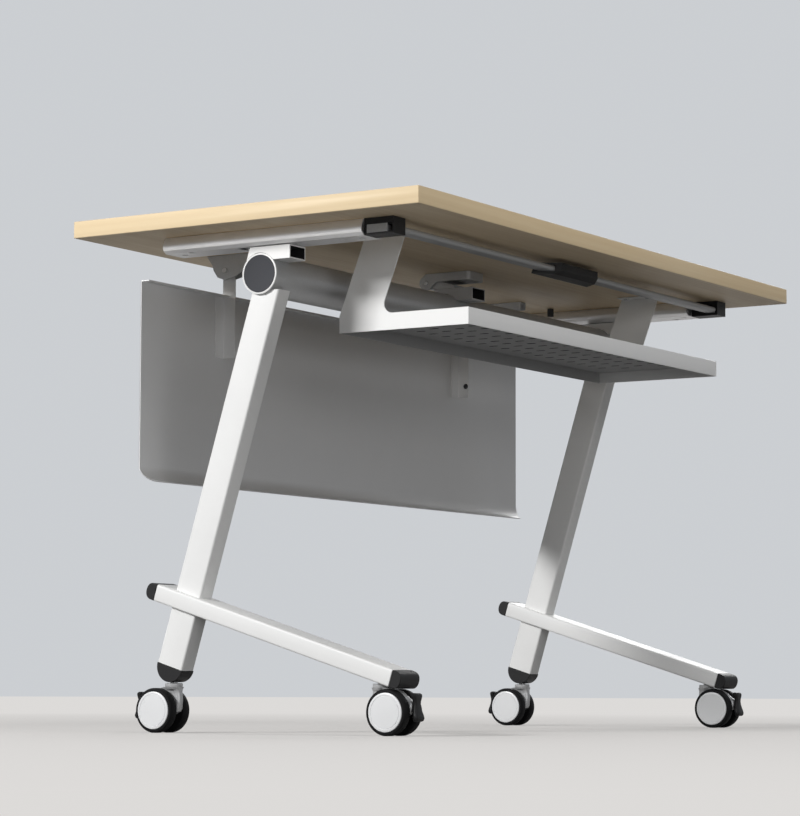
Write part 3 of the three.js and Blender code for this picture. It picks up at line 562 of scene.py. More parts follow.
class Finish(Enum):
    """The table's finishes. Most are named for the record's slots, and slot() tells the others' slots."""

    BOARD = MapleFinish()
    WHITE_PAINT = SkinFinish(
        "white_powder_coat", (0.84, 0.84, 0.83), grey(0.7), 0.12, (0.36, 0.48), specular=0.42, dust=0.06,
    )
    SILVER_PAINT = SkinFinish(
        "silver_powder_coat", (0.45, 0.455, 0.46), (0.75, 0.76, 0.78), 0.3, (0.34, 0.46), metallic=0.25,
    )
    # Painted shade: the shelf and the tray's rear lip take grey copies of the white paint, darkened to
    # stand in for the shade under the top, and the shelf's steep faces are near-black as painted shade in
    # its slots. Both fill the white_paint slot.
    SHADED_SHELF_PAINT = SkinFinish(
        "shaded_shelf_powder_coat", grey(0.46), grey(0.55), 0.2, (0.7, 0.82), specular=0.12,
        steep_face_shade=(0.03, 0.03, 0.032),
    )
    SHADED_LIP_PAINT = SkinFinish("shaded_lip_powder_coat", grey(0.46), grey(0.55), 0.2, (0.7, 0.82), specular=0.12)
    PANEL_PAINT = SkinFinish("panel_powder_coat", grey(0.72), grey(0.82), 0.2, (0.42, 0.54), metallic=0.1)
    # Painted light: the panel hangers take a lighter copy of the panel paint, so they stand out from the
    # panel as if catching more light. It fills the panel_paint slot.
    LIT_HANGER_PAINT = SkinFinish("lit_hanger_powder_coat", grey(0.8), grey(0.84), 0.2, (0.42, 0.54), metallic=0.1)
    ARM_ALLOY = BrushedFinish(
        "satin_arm_metal", (0.92, 0.92, 0.925), (0.86, 0.86, 0.865), Brushing.ALONG_Y, (0.3, 0.4), 0.5,
    )
    BAR_ALLOY = BrushedFinish(
        "satin_bar_metal", (0.4, 0.405, 0.41), (0.33, 0.335, 0.34), Brushing.ALONG_X, (0.42, 0.54), 0.1,
    )
    # Painted shade: near-black steel, partly bare steel and partly shade, lines the insides of the open
    # stub tubes and darkens the right hanger's screw to a dark dot.
    SHADED_DARK_STEEL = BrushedFinish(
        "shaded_dark_steel", (0.05, 0.05, 0.052), (0.035, 0.035, 0.036), Brushing.EVEN, (0.4, 0.55), 0.6,
    )
    STEEL = BrushedFinish(
        "bright_screw_steel", (0.56, 0.57, 0.58), (0.42, 0.43, 0.44), Brushing.EVEN, (0.22, 0.36), 1.0,
    )
    BLACK_PLASTIC = SkinFinish(
        "black_moulded_plastic", (0.0085, 0.0085, 0.009), grey(0.03), 0.12, (0.42, 0.56),
        2200.0, 0.12 * MM, specular=0.2, dust=0.02,
    )
    DARK_GREY_PLASTIC = SkinFinish(
        "grey_moulded_plastic", (0.072, 0.074, 0.082), (0.11, 0.11, 0.12), 0.15, (0.78, 0.88),
        2200.0, 0.1 * MM, specular=0.1,
    )
    COVER_WHITE = SkinFinish(
        "white_cover_plastic", (0.82, 0.825, 0.83), (0.66, 0.66, 0.67), 0.08, (0.26, 0.36),
        1800.0, 0.04 * MM, dust=0.04,
    )
    FORK_GREY = SkinFinish(
        "grey_fork_coat", (0.47, 0.475, 0.48), (0.7, 0.7, 0.72), 0.25, (0.3, 0.42), 1600.0, metallic=0.35,
    )
    TREAD = SkinFinish(
        "tread_rubber", (0.008, 0.008, 0.0085), grey(0.03), 0.15, (0.52, 0.68),
        2600.0, 0.1 * MM, specular=0.08, dust=0.03,
    )
    BUMPER_RUBBER = SkinFinish(
        "black_bumper_rubber", grey(0.015), grey(0.05), 0.2, (0.6, 0.75), 2400.0, 0.1 * MM,
    )

    @classmethod
    def of_node(cls, node: str) -> "Finish":
        """Gives the finish of a CAD node, by its slot in the record."""
        return cls[NODE_SLOT[node].upper()]

    def slot(self) -> str:
        """Gives the record's slot that this finish fills.

        Returns:
            The slot's name.
        """
        shared = {
            Finish.SHADED_SHELF_PAINT: "white_paint", Finish.SHADED_LIP_PAINT: "white_paint",
            Finish.LIT_HANGER_PAINT: "panel_paint", Finish.BAR_ALLOY: "arm_alloy", Finish.SHADED_DARK_STEEL: "steel",
        }
        return shared.get(self, self.name.lower())

    def made(self) -> bpy.types.Material:
        """Gives this finish's material, building it once."""
        return bpy.data.materials.get(self.value.name) or self.value.material()


def spans(node: str) -> tuple[Vector, Vector]:
    """Measures a CAD node.

    Args:
        node: The node's name.

    Returns:
        The middle of its box and the box's size.
    """
    low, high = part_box(node)
    return (low + high) / 2, high - low


def shown(name: str, data: bpy.types.ID) -> bpy.types.Object:
    """Makes an object and links it to the scene.

    Args:
        name: The object's name.
        data: Its mesh, light or camera.

    Returns:
        The object.
    """
    made = bpy.data.objects.new(name, data)
    bpy.context.scene.collection.objects.link(made)
    return made


def piece(name: str, mesh: Mesh, body: str, finish: Finish, node: str | None = None) -> bpy.types.Object:
    """Puts a finished mesh on a body with its finish.

    Args:
        name: The piece's name.
        mesh: The mesh, in its place in the frame.
        body: The CAD body that the piece rides on.
        finish: The piece's finish.
        node: The CAD node that the piece replaces.

    Returns:
        The new object.
    """
    mesh.name = name
    mesh.materials.clear()
    mesh.materials.append(finish.made())
    made = shown(name, mesh)
    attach(made, body)
    if node is not None:
        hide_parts(node)
    log.info("piece %s rides on %s", name, body)
    return made


def stand_in(name: str, mesh: Mesh, node: str, finish: Finish) -> bpy.types.Object:
    """Puts a finished mesh in the place of a CAD node, on the node's body."""
    return piece(name, mesh, NODE_BODY[node], finish, node)


def smooth(mesh: Mesh) -> None:
    """Shades a mesh smoothly, apart from its sharp edges."""
    mesh.shade_smooth()
    mesh.set_sharp_from_angle(angle=SHARP_ANGLE)


def mesh_of(bm: BMesh, weld: bool = True) -> Mesh:
    """Turns a bmesh into a smoothly shaded mesh and frees it.

    Args:
        bm: The bmesh.
        weld: Whether its points are welded and its faces turned outward first.

    Returns:
        The mesh.
    """
    if weld:
        bmesh.ops.remove_doubles(bm, verts=bm.verts, dist=WELD)
        bmesh.ops.recalc_face_normals(bm, faces=bm.faces)
    mesh = bpy.data.meshes.new("piece")
    bm.to_mesh(mesh)
    bm.free()
    smooth(mesh)
    return mesh


def eased_box(middle: Vector, size: Vector, edge: float) -> Mesh:
    """Makes a block with softly rounded edges.

    Args:
        middle: The block's middle.
        size: Its size.
        edge: How far the rounding reaches from an edge.

    Returns:
        The mesh.
    """
    bm = bmesh.new()
    place = Matrix.Translation(middle) @ Matrix.Diagonal((*size, 1.0))
    bmesh.ops.create_cube(bm, size=1.0, matrix=place)
    bmesh.ops.bevel(
        bm, geom=bm.edges[:], offset=edge, segments=EASE_STEPS, profile=0.5, affect="EDGES",
    )
    return mesh_of(bm)


def lofted(*skins: Sequence[Sequence[Vector]], closed: bool = True) -> Mesh:
    """Joins rings of points into skins and makes them one mesh.

    Args:
        skins: The rings of each skin, with the same number of points.
        closed: Whether both ends of a skin get a flat face.

    Returns:
        The mesh.
    """
    bm = bmesh.new()
    for rings in skins:
        made = [[bm.verts.new(point) for point in ring] for ring in rings]
        for first, second in zip(made, made[1:]):
            for i in range(len(first)):
                j = (i + 1) % len(first)
                bm.faces.new((first[i], first[j], second[j], second[i]))
        if closed:
            bm.faces.new(list(reversed(made[0])))
            bm.faces.new(made[-1])
    return mesh_of(bm)


def rounded_rectangle(width: float, height: float, radius: float) -> Outline:
    """Gives a rectangle with round corners, centred on zero.

    Args:
        width: Size along the first axis.
        height: Size along the second axis.
        radius: Corner radius.

    Returns:
        The outline's points, counter-clockwise.
    """
    points: Outline = []
    for u, v, start in ((1, 1, 0), (-1, 1, 90), (-1, -1, 180), (1, -1, 270)):
        for step in range(CORNER_STEPS + 1):
            angle = math.radians(start + 90 * step / CORNER_STEPS)
            points.append((
                u * (width / 2 - radius) + radius * math.cos(angle),
                v * (height / 2 - radius) + radius * math.sin(angle),
            ))
    return points


def turned(profile: Outline, centre: Vector, segments: int, upright: bool = False) -> list[list[Vector]]:
    """Turns a profile round an axis along X, or along Z when upright.

    Args:
        profile: Pairs of place along the axis and radius.
        centre: A point on the axis.
        segments: Points round the axis.
        upright: Whether the axis stands along Z.

    Returns:
        One ring for each pair.
    """
    angles = [2 * math.pi * i / segments for i in range(segments)]
    rings = []
    for along, radius in profile:
        round_axis = [(radius * math.cos(a), radius * math.sin(a)) for a in angles]
        spots = [(u, v, along) if upright else (along, u, v) for u, v in round_axis]
        rings.append([centre + Vector(spot) for spot in spots])
    return rings


def mirrored(profile: Outline, sign: int) -> Outline:
    """Turns a profile's direction along its axis where the sign is -1."""
    return [(sign * along, radius) for along, radius in profile]


def eased_corner(along: float, radius: float, ease: float, shares: Span) -> Outline:
    """Gives the three points of a profile's eased outer corner.

    Args:
        along: Place of the corner along the axis.
        radius: The corner's radius.
        ease: How far the easing reaches from the corner.
        shares: How much of the ease the middle point lies back along the axis, and in from the radius.

    Returns:
        The points, from the outer side to the end face.
    """
    back, inward = shares
    middle = (along - back * ease, radius - inward * ease)
    return [(along - ease, radius), middle, (along, radius - ease)]


@dataclass
class SoftenedNode:
    """A CAD node shown as a copy with rounded edges."""

    node: str
    edge: float
    segments: int = 3
    sharp: float = math.radians(40.0)
    finish: Finish | None = None
    # Finish inside an open tube's bore, near-black as painted shade, or None.
    bore: Finish | None = None
    inward: float = -0.1 * MM

    def line_bore(self, mesh: Mesh) -> None:
        """Gives the walls inside an open tube a near-black finish: bare steel, darkened as painted shade
        inside the tube.

        Args:
            mesh: The tube's mesh, which runs along Y.
        """
        middle, _ = spans(self.node)
        mesh.materials.append(self.bore.made())
        for face in mesh.polygons:
            outward = (face.center - middle) * Vector((1.0, 0.0, 1.0))
            if face.normal.dot(outward) < self.inward:
                face.material_index = 1

    def build(self) -> None:
        """Copies the node, merges its flat faces, rounds its edges and stands in for it."""
        bm = bmesh.new()
        bm.from_mesh(frame["nodes"][self.node].data)
        bmesh.ops.remove_doubles(bm, verts=bm.verts, dist=WELD)
        if self.edge > 0.0:
            bmesh.ops.dissolve_limit(bm, angle_limit=FLAT_ANGLE, verts=bm.verts, edges=bm.edges)
        mesh = mesh_of(bm, weld=False)
        made = stand_in(f"{self.node}_skin", mesh, self.node, self.finish or Finish.of_node(self.node))
        if self.bore is not None:
            self.line_bore(mesh)
        if self.edge == 0.0:
            made.modifiers.new("even_shade", "WEIGHTED_NORMAL").keep_sharp = True
            return
        bevel = made.modifiers.new("rounded_edges", "BEVEL")
        bevel.width = self.edge
        bevel.segments = self.segments
        bevel.limit_method = "ANGLE"
        bevel.angle_limit = self.sharp
        bevel.use_clamp_overlap = False
        bevel.harden_normals = True


@dataclass
class Board:
    """The top board with its banded edges."""

    edge: float = 1.2 * MM

    def build(self) -> None:
        """Builds the board with softly rounded edges."""
        stand_in("top_board", eased_box(*spans("tabletop"), self.edge), "tabletop", Finish.BOARD)


@dataclass
class SideFrames:
    """Both leaning legs with their foot rails, drawn with round tube corners."""

    lean: float = math.radians(17.0)
    ahead: float = 15.0 * MM
    foot_z: float = 96.5 * MM
    leg_wide: float = 30.0 * MM
    leg_deep: float = 46.0 * MM
    leg_corner: float = 3.5 * MM
    rail_wide: float = 50.0 * MM
    rail_thick: float = 25.0 * MM
    rail_corner: float = 3.0 * MM
    rail_up: float = 96.5 * MM
    rail_front: float = -374.5 * MM
    rail_rear: float = 50.0 * MM
    rim: float = 0.6 * MM

    def place(self, side: str) -> Matrix:
        """Finds where a side stands.

        Args:
            side: The table's side.

        Returns:
            The matrix from the side's upright drawing to its leaning place.
        """
        beam, _ = spans("crossbeam")
        leg, _ = spans(f"leg_{side}")
        foot_y = beam.y - self.ahead + (beam.z - self.foot_z) * math.tan(self.lean)
        spot = Vector((leg.x, foot_y, self.foot_z))
        return Matrix.Translation(spot) @ Matrix.Rotation(self.lean, 4, "X")

    def build(self) -> None:
        """Builds both legs and both rails."""
        for side in SIDES:
            self.leg(side)
            self.rail(side)

    def leg(self, side: str) -> None:
        """Builds one leg, cut level where it meets the crossbeam.

        Args:
            side: The table's side.
        """
        place = self.place(side)
        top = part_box(f"leg_{side}")[1].z
        outline = rounded_rectangle(self.leg_wide, self.leg_deep, self.leg_corner)
        foot = [place @ Vector((x, y, 0.0)) for x, y in outline]
        head = []
        for x, y in outline:
            rise = (top - self.foot_z - y * math.sin(self.lean)) / math.cos(self.lean)
            head.append(place @ Vector((x, y, rise)))
        stand_in(f"leg_tube_{side}", lofted([foot, head]), f"leg_{side}", Finish.WHITE_PAINT)

    def rail(self, side: str) -> None:
        """Builds one foot rail with slightly eased cut ends.

        Args:
            side: The table's side.
        """
        place = self.place(side)
        stations = (
            (self.rail_front, self.rim), (self.rail_front + self.rim, 0.0),
            (self.rail_rear - self.rim, 0.0), (self.rail_rear, self.rim),
        )
        rings = []
        for along, inset in stations:
            outline = rounded_rectangle(
                self.rail_wide - 2 * inset, self.rail_thick - 2 * inset, self.rail_corner - inset,
            )
            rings.append([place @ Vector((x, along, self.rail_up + z)) for x, z in outline])
        stand_in(f"foot_rail_tube_{side}", lofted(rings), f"foot_rail_{side}", Finish.WHITE_PAINT)


@dataclass
class Crossbeam:
    """The round beam with its cut wall showing as a ring round each end plug."""

    wall: float = 2.5 * MM
    ring: float = 1.6 * MM
    rim: float = 0.6 * MM
    rim_ease: Span = (0.3, 0.3)
    plug_rim: float = 0.7 * MM
    plug_ease: Span = (0.2, 0.3)
    plug_flat: float = 2.1 * MM
    plug_slope: float = 2.8 * MM
    plug_gap: float = 0.2 * MM
    plug_dish: float = 0.3 * MM
    plug_middle: float = 0.35 * MM
    segments: int = 96

    def build(self) -> None:
        """Builds the beam, then the cut wall and the soft-rimmed, faintly dished plug at each end."""
        centre, size = spans("crossbeam")
        radius, half = size.z / 2, size.x / 2
        bore, end = radius - self.wall, half - self.ring
        outer, back = bore - self.plug_gap, end - self.plug_gap
        tube = [(-end, AXIS), (-end, radius), (end, radius), (end, AXIS)]
        wall = [
            (end, bore), (end, radius), *eased_corner(half, radius, self.rim, self.rim_ease),
            (half, bore), (end, bore),
        ]
        plug = [
            (back, AXIS), (back, outer), *eased_corner(half, outer, self.plug_rim, self.plug_ease),
            (half, outer - self.plug_flat), (half - self.plug_dish, outer - self.plug_slope),
            (half - self.plug_middle, AXIS),
        ]
        beam = lofted(turned(tube, centre, self.segments))
        stand_in("crossbeam_tube", beam, "crossbeam", Finish.SILVER_PAINT)
        for side, sign in SIDES.items():
            rim = lofted(turned(mirrored(wall, sign), centre, self.segments), closed=False)
            piece(f"crossbeam_rim_{side}", rim, "frame", Finish.WHITE_PAINT)
            node = f"crossbeam_plug_{side}"
            cap = lofted(turned(mirrored(plug, sign), centre, self.segments))
            stand_in(f"{node}_cap", cap, node, Finish.DARK_GREY_PLASTIC)


@dataclass(frozen=True)
class Section:
    """A level cut through a castor piece, in millimetres from the foot of its stem."""

    up: float
    near: float
    far: float
    half: float


FORK_SECTIONS: tuple[Section, ...] = (
    Section(22.0, 14.0, 26.0, 4.5), Section(24.0, 6.0, 33.0, 6.5), Section(27.0, -3.0, 42.0, 6.5),
    Section(31.0, -11.5, 50.0, 6.5), Section(35.0, -13.6, 53.0, 6.5), Section(46.0, -14.4, 53.0, 6.5),
    Section(51.0, -14.2, 46.5, 6.5), Section(56.0, -13.8, 40.5, 6.5), Section(60.0, -13.4, 35.0, 6.8),
    Section(63.0, -13.2, 29.0, 7.9), Section(65.0, -13.0, 20.0, 10.0), Section(66.5, -13.0, 13.5, 10.8),
)
PEDAL_SECTIONS: tuple[Section, ...] = (
    Section(20.0, 56.6, 61.4, 7.6), Section(20.5, 55.9, 62.6, 8.8), Section(22.0, 55.3, 63.8, 10.0),
    Section(25.0, 54.8, 64.3, 10.8), Section(29.0, 54.3, 63.3, 10.4), Section(34.0, 54.2, 62.0, 9.0),
    Section(39.0, 54.2, 60.9, 7.8), Section(44.0, 54.2, 60.2, 7.4), Section(48.0, 53.7, 60.3, 8.0),
    Section(52.0, 52.7, 60.7, 9.4), Section(55.0, 51.9, 60.8, 10.3), Section(57.0, 51.6, 60.5, 10.5),
    Section(58.6, 52.4, 59.4, 9.6), Section(59.3, 53.6, 58.2, 8.2),
)


@dataclass
class Castor:
    """One twin wheel castor: rounded treads, grooved covers, a curved fork and a rocker pedal.

    The collar's curve pairs heights in millimetres with shares of its radius, and the dome's curve pairs
    shares of its rise with shares of the groove's radius.
    """

    place: str
    tread_round: float = 3.2 * MM
    tread_inner: float = 8.0 * MM
    tread_angles: tuple[int, ...] = (20, 40, 60, 80)
    axle: float = 3.0 * MM
    seat_back: float = 20.0 * MM
    seat_gap: float = 0.15 * MM
    seat_edge: float = 0.4 * MM
    cover_edge: float = 1.1 * MM
    cover_ease: Span = (0.35, 0.25)
    groove_in: float = 3.6 * MM
    groove_wide: float = 0.9 * MM
    groove_deep: float = 0.5 * MM
    groove_slopes: Span = (0.2 * MM, 0.25 * MM)
    groove_lip: float = 0.05 * MM
    dome: float = 0.5 * MM
    dome_curve: tuple[Span, ...] = ((0.7, 0.55), (0.95, 0.2))
    trail: float = 20.0 * MM
    fork_corner: float = 5.6 * MM
    collar: float = 13.0 * MM
    collar_curve: tuple[Span, ...] = (
        (63.0, 0.84), (65.5, 0.95), (67.0, 1.0), (71.2, 1.0), (71.8, 0.95), (72.0, 0.88),
    )
    stem_radius: float = 5.5 * MM
    pedal_corner: float = 3.0 * MM
    corner_share: float = 0.48
    segments: int = 72
    collar_segments: int = 48

    @property
    def centre(self) -> Vector:
        """The wheel's centre."""
        return spans(self.node("wheel"))[0]

    @property
    def way(self) -> float:
        """Direction along Y in which the wheel trails."""
        return 1.0 if self.place.startswith("rear") else -1.0

    @property
    def stem(self) -> Vector:
        """Foot of the stem on the floor."""
        centre = self.centre
        return Vector((centre.x, centre.y - self.way * self.trail, 0.0))

    def node(self, kind: str) -> str:
        """Names one of the castor's CAD nodes."""
        return f"castor_{kind}_{self.place}"

    def build(self) -> None:
        """Builds the treads, covers, fork and pedal of one castor."""
        self.treads()
        for letter in ("a", "b"):
            self.cover(self.node(f"cover_{letter}"))
        self.fork()
        self.pedal()

    def horn(self, sections: Iterable[Section], corner: float) -> list[list[Vector]]:
        """Draws rounded level sections one above the other.

        Args:
            sections: The sections from bottom to top.
            corner: Largest corner radius.

        Returns:
            One ring for each section.
        """
        rings, stem = [], self.stem
        for section in sections:
            deep = (section.far - section.near) * MM
            wide = 2 * section.half * MM
            outline = rounded_rectangle(wide, deep, min(corner, self.corner_share * min(deep, wide)))
            middle = (section.far + section.near) / 2 * MM
            up = section.up * MM
            rings.append([stem + Vector((x, self.way * (y + middle), up)) for x, y in outline])
        return rings

    def fork(self) -> None:
        """Builds the fork's curved horn, its collar and its stem."""
        node = self.node("fork")
        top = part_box(node)[1].z
        collar = [(up * MM, share * self.collar) for up, share in self.collar_curve]
        foot, head = collar[0][0], collar[-1][0]
        profile = [
            (foot, AXIS), *collar, (head, self.stem_radius), (top, self.stem_radius), (top, AXIS),
        ]
        neck = turned(profile, self.stem, self.collar_segments, upright=True)
        horn = lofted(self.horn(FORK_SECTIONS, self.fork_corner), neck)
        stand_in(f"{node}_horn", horn, node, Finish.FORK_GREY)

    def pedal(self) -> None:
        """Builds the rocker pedal, waisted between its two pads."""
        node = self.node("pedal")
        rocker = lofted(self.horn(PEDAL_SECTIONS, self.pedal_corner))
        stand_in(f"{node}_rocker", rocker, node, Finish.BLACK_PLASTIC)

    def treads(self) -> None:
        """Builds both treads and the axle between them."""
        node = self.node("wheel")
        centre, size = spans(node)
        radius, outer = size.z / 2, size.x / 2
        seat = spans(self.node("cover_a"))[1].z / 2 + self.seat_gap
        inner, bend = self.tread_inner, self.tread_round
        shoulder = radius - bend
        angles = [math.radians(angle) for angle in self.tread_angles]
        curve = [(bend * math.cos(angle), shoulder + bend * math.sin(angle)) for angle in angles]
        half: Outline = [(inner, self.axle), (inner, shoulder)]
        half += [(inner + bend - along, up) for along, up in curve]
        half += [((inner + outer) / 2, radius)]
        half += [(outer - bend + along, up) for along, up in reversed(curve)]
        half += [
            (outer, shoulder), (outer, seat + self.seat_edge), (outer - self.seat_edge, seat),
            (self.seat_back, seat), (self.seat_back, AXIS),
        ]
        treads = lofted(turned(mirrored(half[::-1], -1) + half, centre, self.segments))
        stand_in(f"{node}_treads", treads, node, Finish.TREAD)

    def cover(self, node: str) -> None:
        """Builds one cover disc with a ring groove near its edge.

        Args:
            node: The cover's CAD node.
        """
        centre = self.centre
        middle, size = spans(node)
        away = middle.x - centre.x
        sign = 1 if away > 0.0 else -1
        face = abs(away) + size.x / 2 - self.dome
        root = abs(away) - size.x / 2
        radius = size.z / 2
        groove = radius - self.groove_in
        hollow = groove - self.groove_wide
        floor = face - self.groove_deep
        outer_slope, inner_slope = self.groove_slopes
        profile = [
            (root, AXIS), (root, radius), *eased_corner(face, radius, self.cover_edge, self.cover_ease),
            (face, groove), (floor, groove - outer_slope), (floor, hollow),
            (face + self.groove_lip, hollow - inner_slope),
            *((face + rise * self.dome, groove * share) for rise, share in self.dome_curve),
            (face + self.dome, AXIS),
        ]
        disc = lofted(turned(mirrored(profile, sign), centre, self.segments))
        stand_in(f"{node}_disc", disc, node, Finish.COVER_WHITE)


def geometry_tree(name: str, sizes: dict[str, float]) -> tuple[NodeKit, Sockets, Sockets]:
    """Makes an empty geometry node tree with named sizes.

    Args:
        name: The tree's name.
        sizes: Named sizes in metres, or whole counts.
    """
    inputs = {"Geometry": SocketKind.SHAPE, **dict.fromkeys(sizes, SocketKind.VALUE)}
    return empty_tree(name, TreeKind.GEOMETRY, inputs, {"Geometry": SocketKind.SHAPE})


def end_tree(kit: NodeKit, geometry: Socket, finish: Finish, out: Sockets) -> bpy.types.NodeTree:
    """Ends a geometry node tree in Realize Instances and Set Material.

    Args:
        kit: The tree's kit.
        geometry: What the tree has made.
        finish: The finish that it gets.
        out: The tree's output sockets.

    Returns:
        The tree.
    """
    real = kit.run("GeometryNodeRealizeInstances", geometry)
    dressed = kit.add("GeometryNodeSetMaterial", Geometry=real, Material=finish.made())
    kit.put(out["Geometry"], dressed.outputs[0])
    return kit.tree


def grown(mesh: Mesh, tree: bpy.types.NodeTree, sizes: dict[str, float]) -> Mesh:
    """Runs a geometry node tree on a mesh.

    Args:
        mesh: The mesh that the tree starts from.
        tree: The geometry node tree.
        sizes: Values of the tree's named inputs.

    Returns:
        The plain result, smoothly shaded.
    """
    seed = shown("seed", mesh)
    modifier = seed.modifiers.new("grow", "NODES")
    modifier.node_group = tree
    for item in tree.interface.items_tree:
        if item.in_out == "INPUT" and item.name in sizes:
            modifier[item.identifier] = sizes[item.name]
    evaluated = seed.evaluated_get(bpy.context.evaluated_depsgraph_get())
    result = bpy.data.meshes.new_from_object(evaluated)
    seed.modifiers.remove(modifier)
    bpy.data.objects.remove(seed)
    smooth(result)
    return result


@dataclass
class Tray:
    """The slotted shelf with its folded lips."""

    sheet: float = 2.0 * MM
    slot_long: float = 16.0 * MM
    slot_wide: float = 6.0 * MM
    end_share: float = 0.49
    end_steps: int = 5
    pitch_x: float = 36.0 * MM
    pitch_y: float = 34.0 * MM
    stagger: float = 0.25
    rows: int = 5
    columns: int = 20
    shelf_z: float = 600.5 * MM
    fold: float = 0.7 * MM

    def slot_places(self, kit: NodeKit, given: Sockets) -> Socket:
        """Lays out the slots' middles in staggered rows.

        Args:
            kit: The tree's kit.
            given: The tree's named sizes.

        Returns:
            The points.
        """
        spots = kit.run("GeometryNodePoints", kit.math("MULTIPLY", given["Rows"], given["Columns"]))
        index = kit.add("GeometryNodeInputIndex").outputs[0]
        row = kit.math("FLOOR", kit.math("DIVIDE", index, given["Columns"]))
        column = kit.math("SUBTRACT", index, kit.math("MULTIPLY", row, given["Columns"]))
        odd = kit.math("MODULO", row, 2.0)
        shift = kit.math("SUBTRACT", kit.math("MULTIPLY", odd, 2 * self.stagger), self.stagger)
        across = kit.math("ADD", kit.from_middle(column, given["Columns"]), shift)
        place = kit.vector(
            kit.math("MULTIPLY", across, given["Pitch X"]),
            kit.math("MULTIPLY", kit.from_middle(row, given["Rows"]), given["Pitch Y"]),
        )
        return kit.add("GeometryNodeSetPosition", Geometry=spots, Position=place).outputs[0]

    def slot_tree(self, sizes: dict[str, float]) -> bpy.types.NodeTree:
        """Builds the tree that punches round-ended slots in a sheet.

        Args:
            sizes: The tree's named sizes.

        Returns:
            The tree.
        """
        kit, given, out = geometry_tree("slotted_sheet", sizes)
        oblong = "GeometryNodeCurvePrimitiveQuadrilateral"
        sheet = kit.add(oblong, Width=given["Length"], Height=given["Depth"]).outputs[0]
        slot = kit.add(oblong, Width=given["Slot Wide"], Height=given["Slot Long"]).outputs[0]
        ends = kit.add(
            "GeometryNodeFilletCurve", {"mode": "POLY"}, Curve=slot, Count=self.end_steps,
            Radius=kit.math("MULTIPLY", given["Slot Wide"], self.end_share),
        )
        copies = kit.add(
            "GeometryNodeInstanceOnPoints", Points=self.slot_places(kit, given), Instance=ends.outputs[0],
        )
        slots = kit.run("GeometryNodeRealizeInstances", copies.outputs[0])
        face = kit.run("GeometryNodeFillCurve", kit.join(sheet, slots))
        thick = kit.add(
            "GeometryNodeExtrudeMesh", Mesh=face, Offset_Scale=given["Thickness"], Individual=False,
        )
        whole = kit.join(thick.outputs[0], kit.run("GeometryNodeFlipFaces", face))
        welded = kit.add("GeometryNodeMergeByDistance", Geometry=whole, Distance=WELD)
        return end_tree(kit, welded.outputs[0], Finish.SHADED_SHELF_PAINT, out)

    def build(self) -> None:
        """Builds the shelf and its front and rear lips."""
        middle, size = spans("tray_shelf")
        sizes = {
            "Length": size.x, "Depth": size.y - 2 * self.sheet, "Thickness": self.sheet,
            "Slot Long": self.slot_long, "Slot Wide": self.slot_wide, "Pitch X": self.pitch_x,
            "Pitch Y": self.pitch_y, "Rows": float(self.rows), "Columns": float(self.columns),
        }
        shelf = grown(bpy.data.meshes.new("shelf_seed"), self.slot_tree(sizes), sizes)
        shelf.transform(Matrix.Translation((0.0, middle.y, self.shelf_z)))
        stand_in("tray_slotted_shelf", shelf, "tray_shelf", Finish.SHADED_SHELF_PAINT)
        reach = (size.y - self.sheet) / 2
        # The rear lip takes the grey copy of the white paint as painted shade, and the front lip keeps the
        # white paint.
        lips = (("front", -reach, Finish.WHITE_PAINT), ("rear", reach, Finish.SHADED_LIP_PAINT))
        for name, along, finish in lips:
            place = Vector((0.0, middle.y + along, middle.z))
            lip = eased_box(place, Vector((size.x, self.sheet, size.z)), self.fold)
            piece(f"tray_lip_{name}", lip, "top", finish)


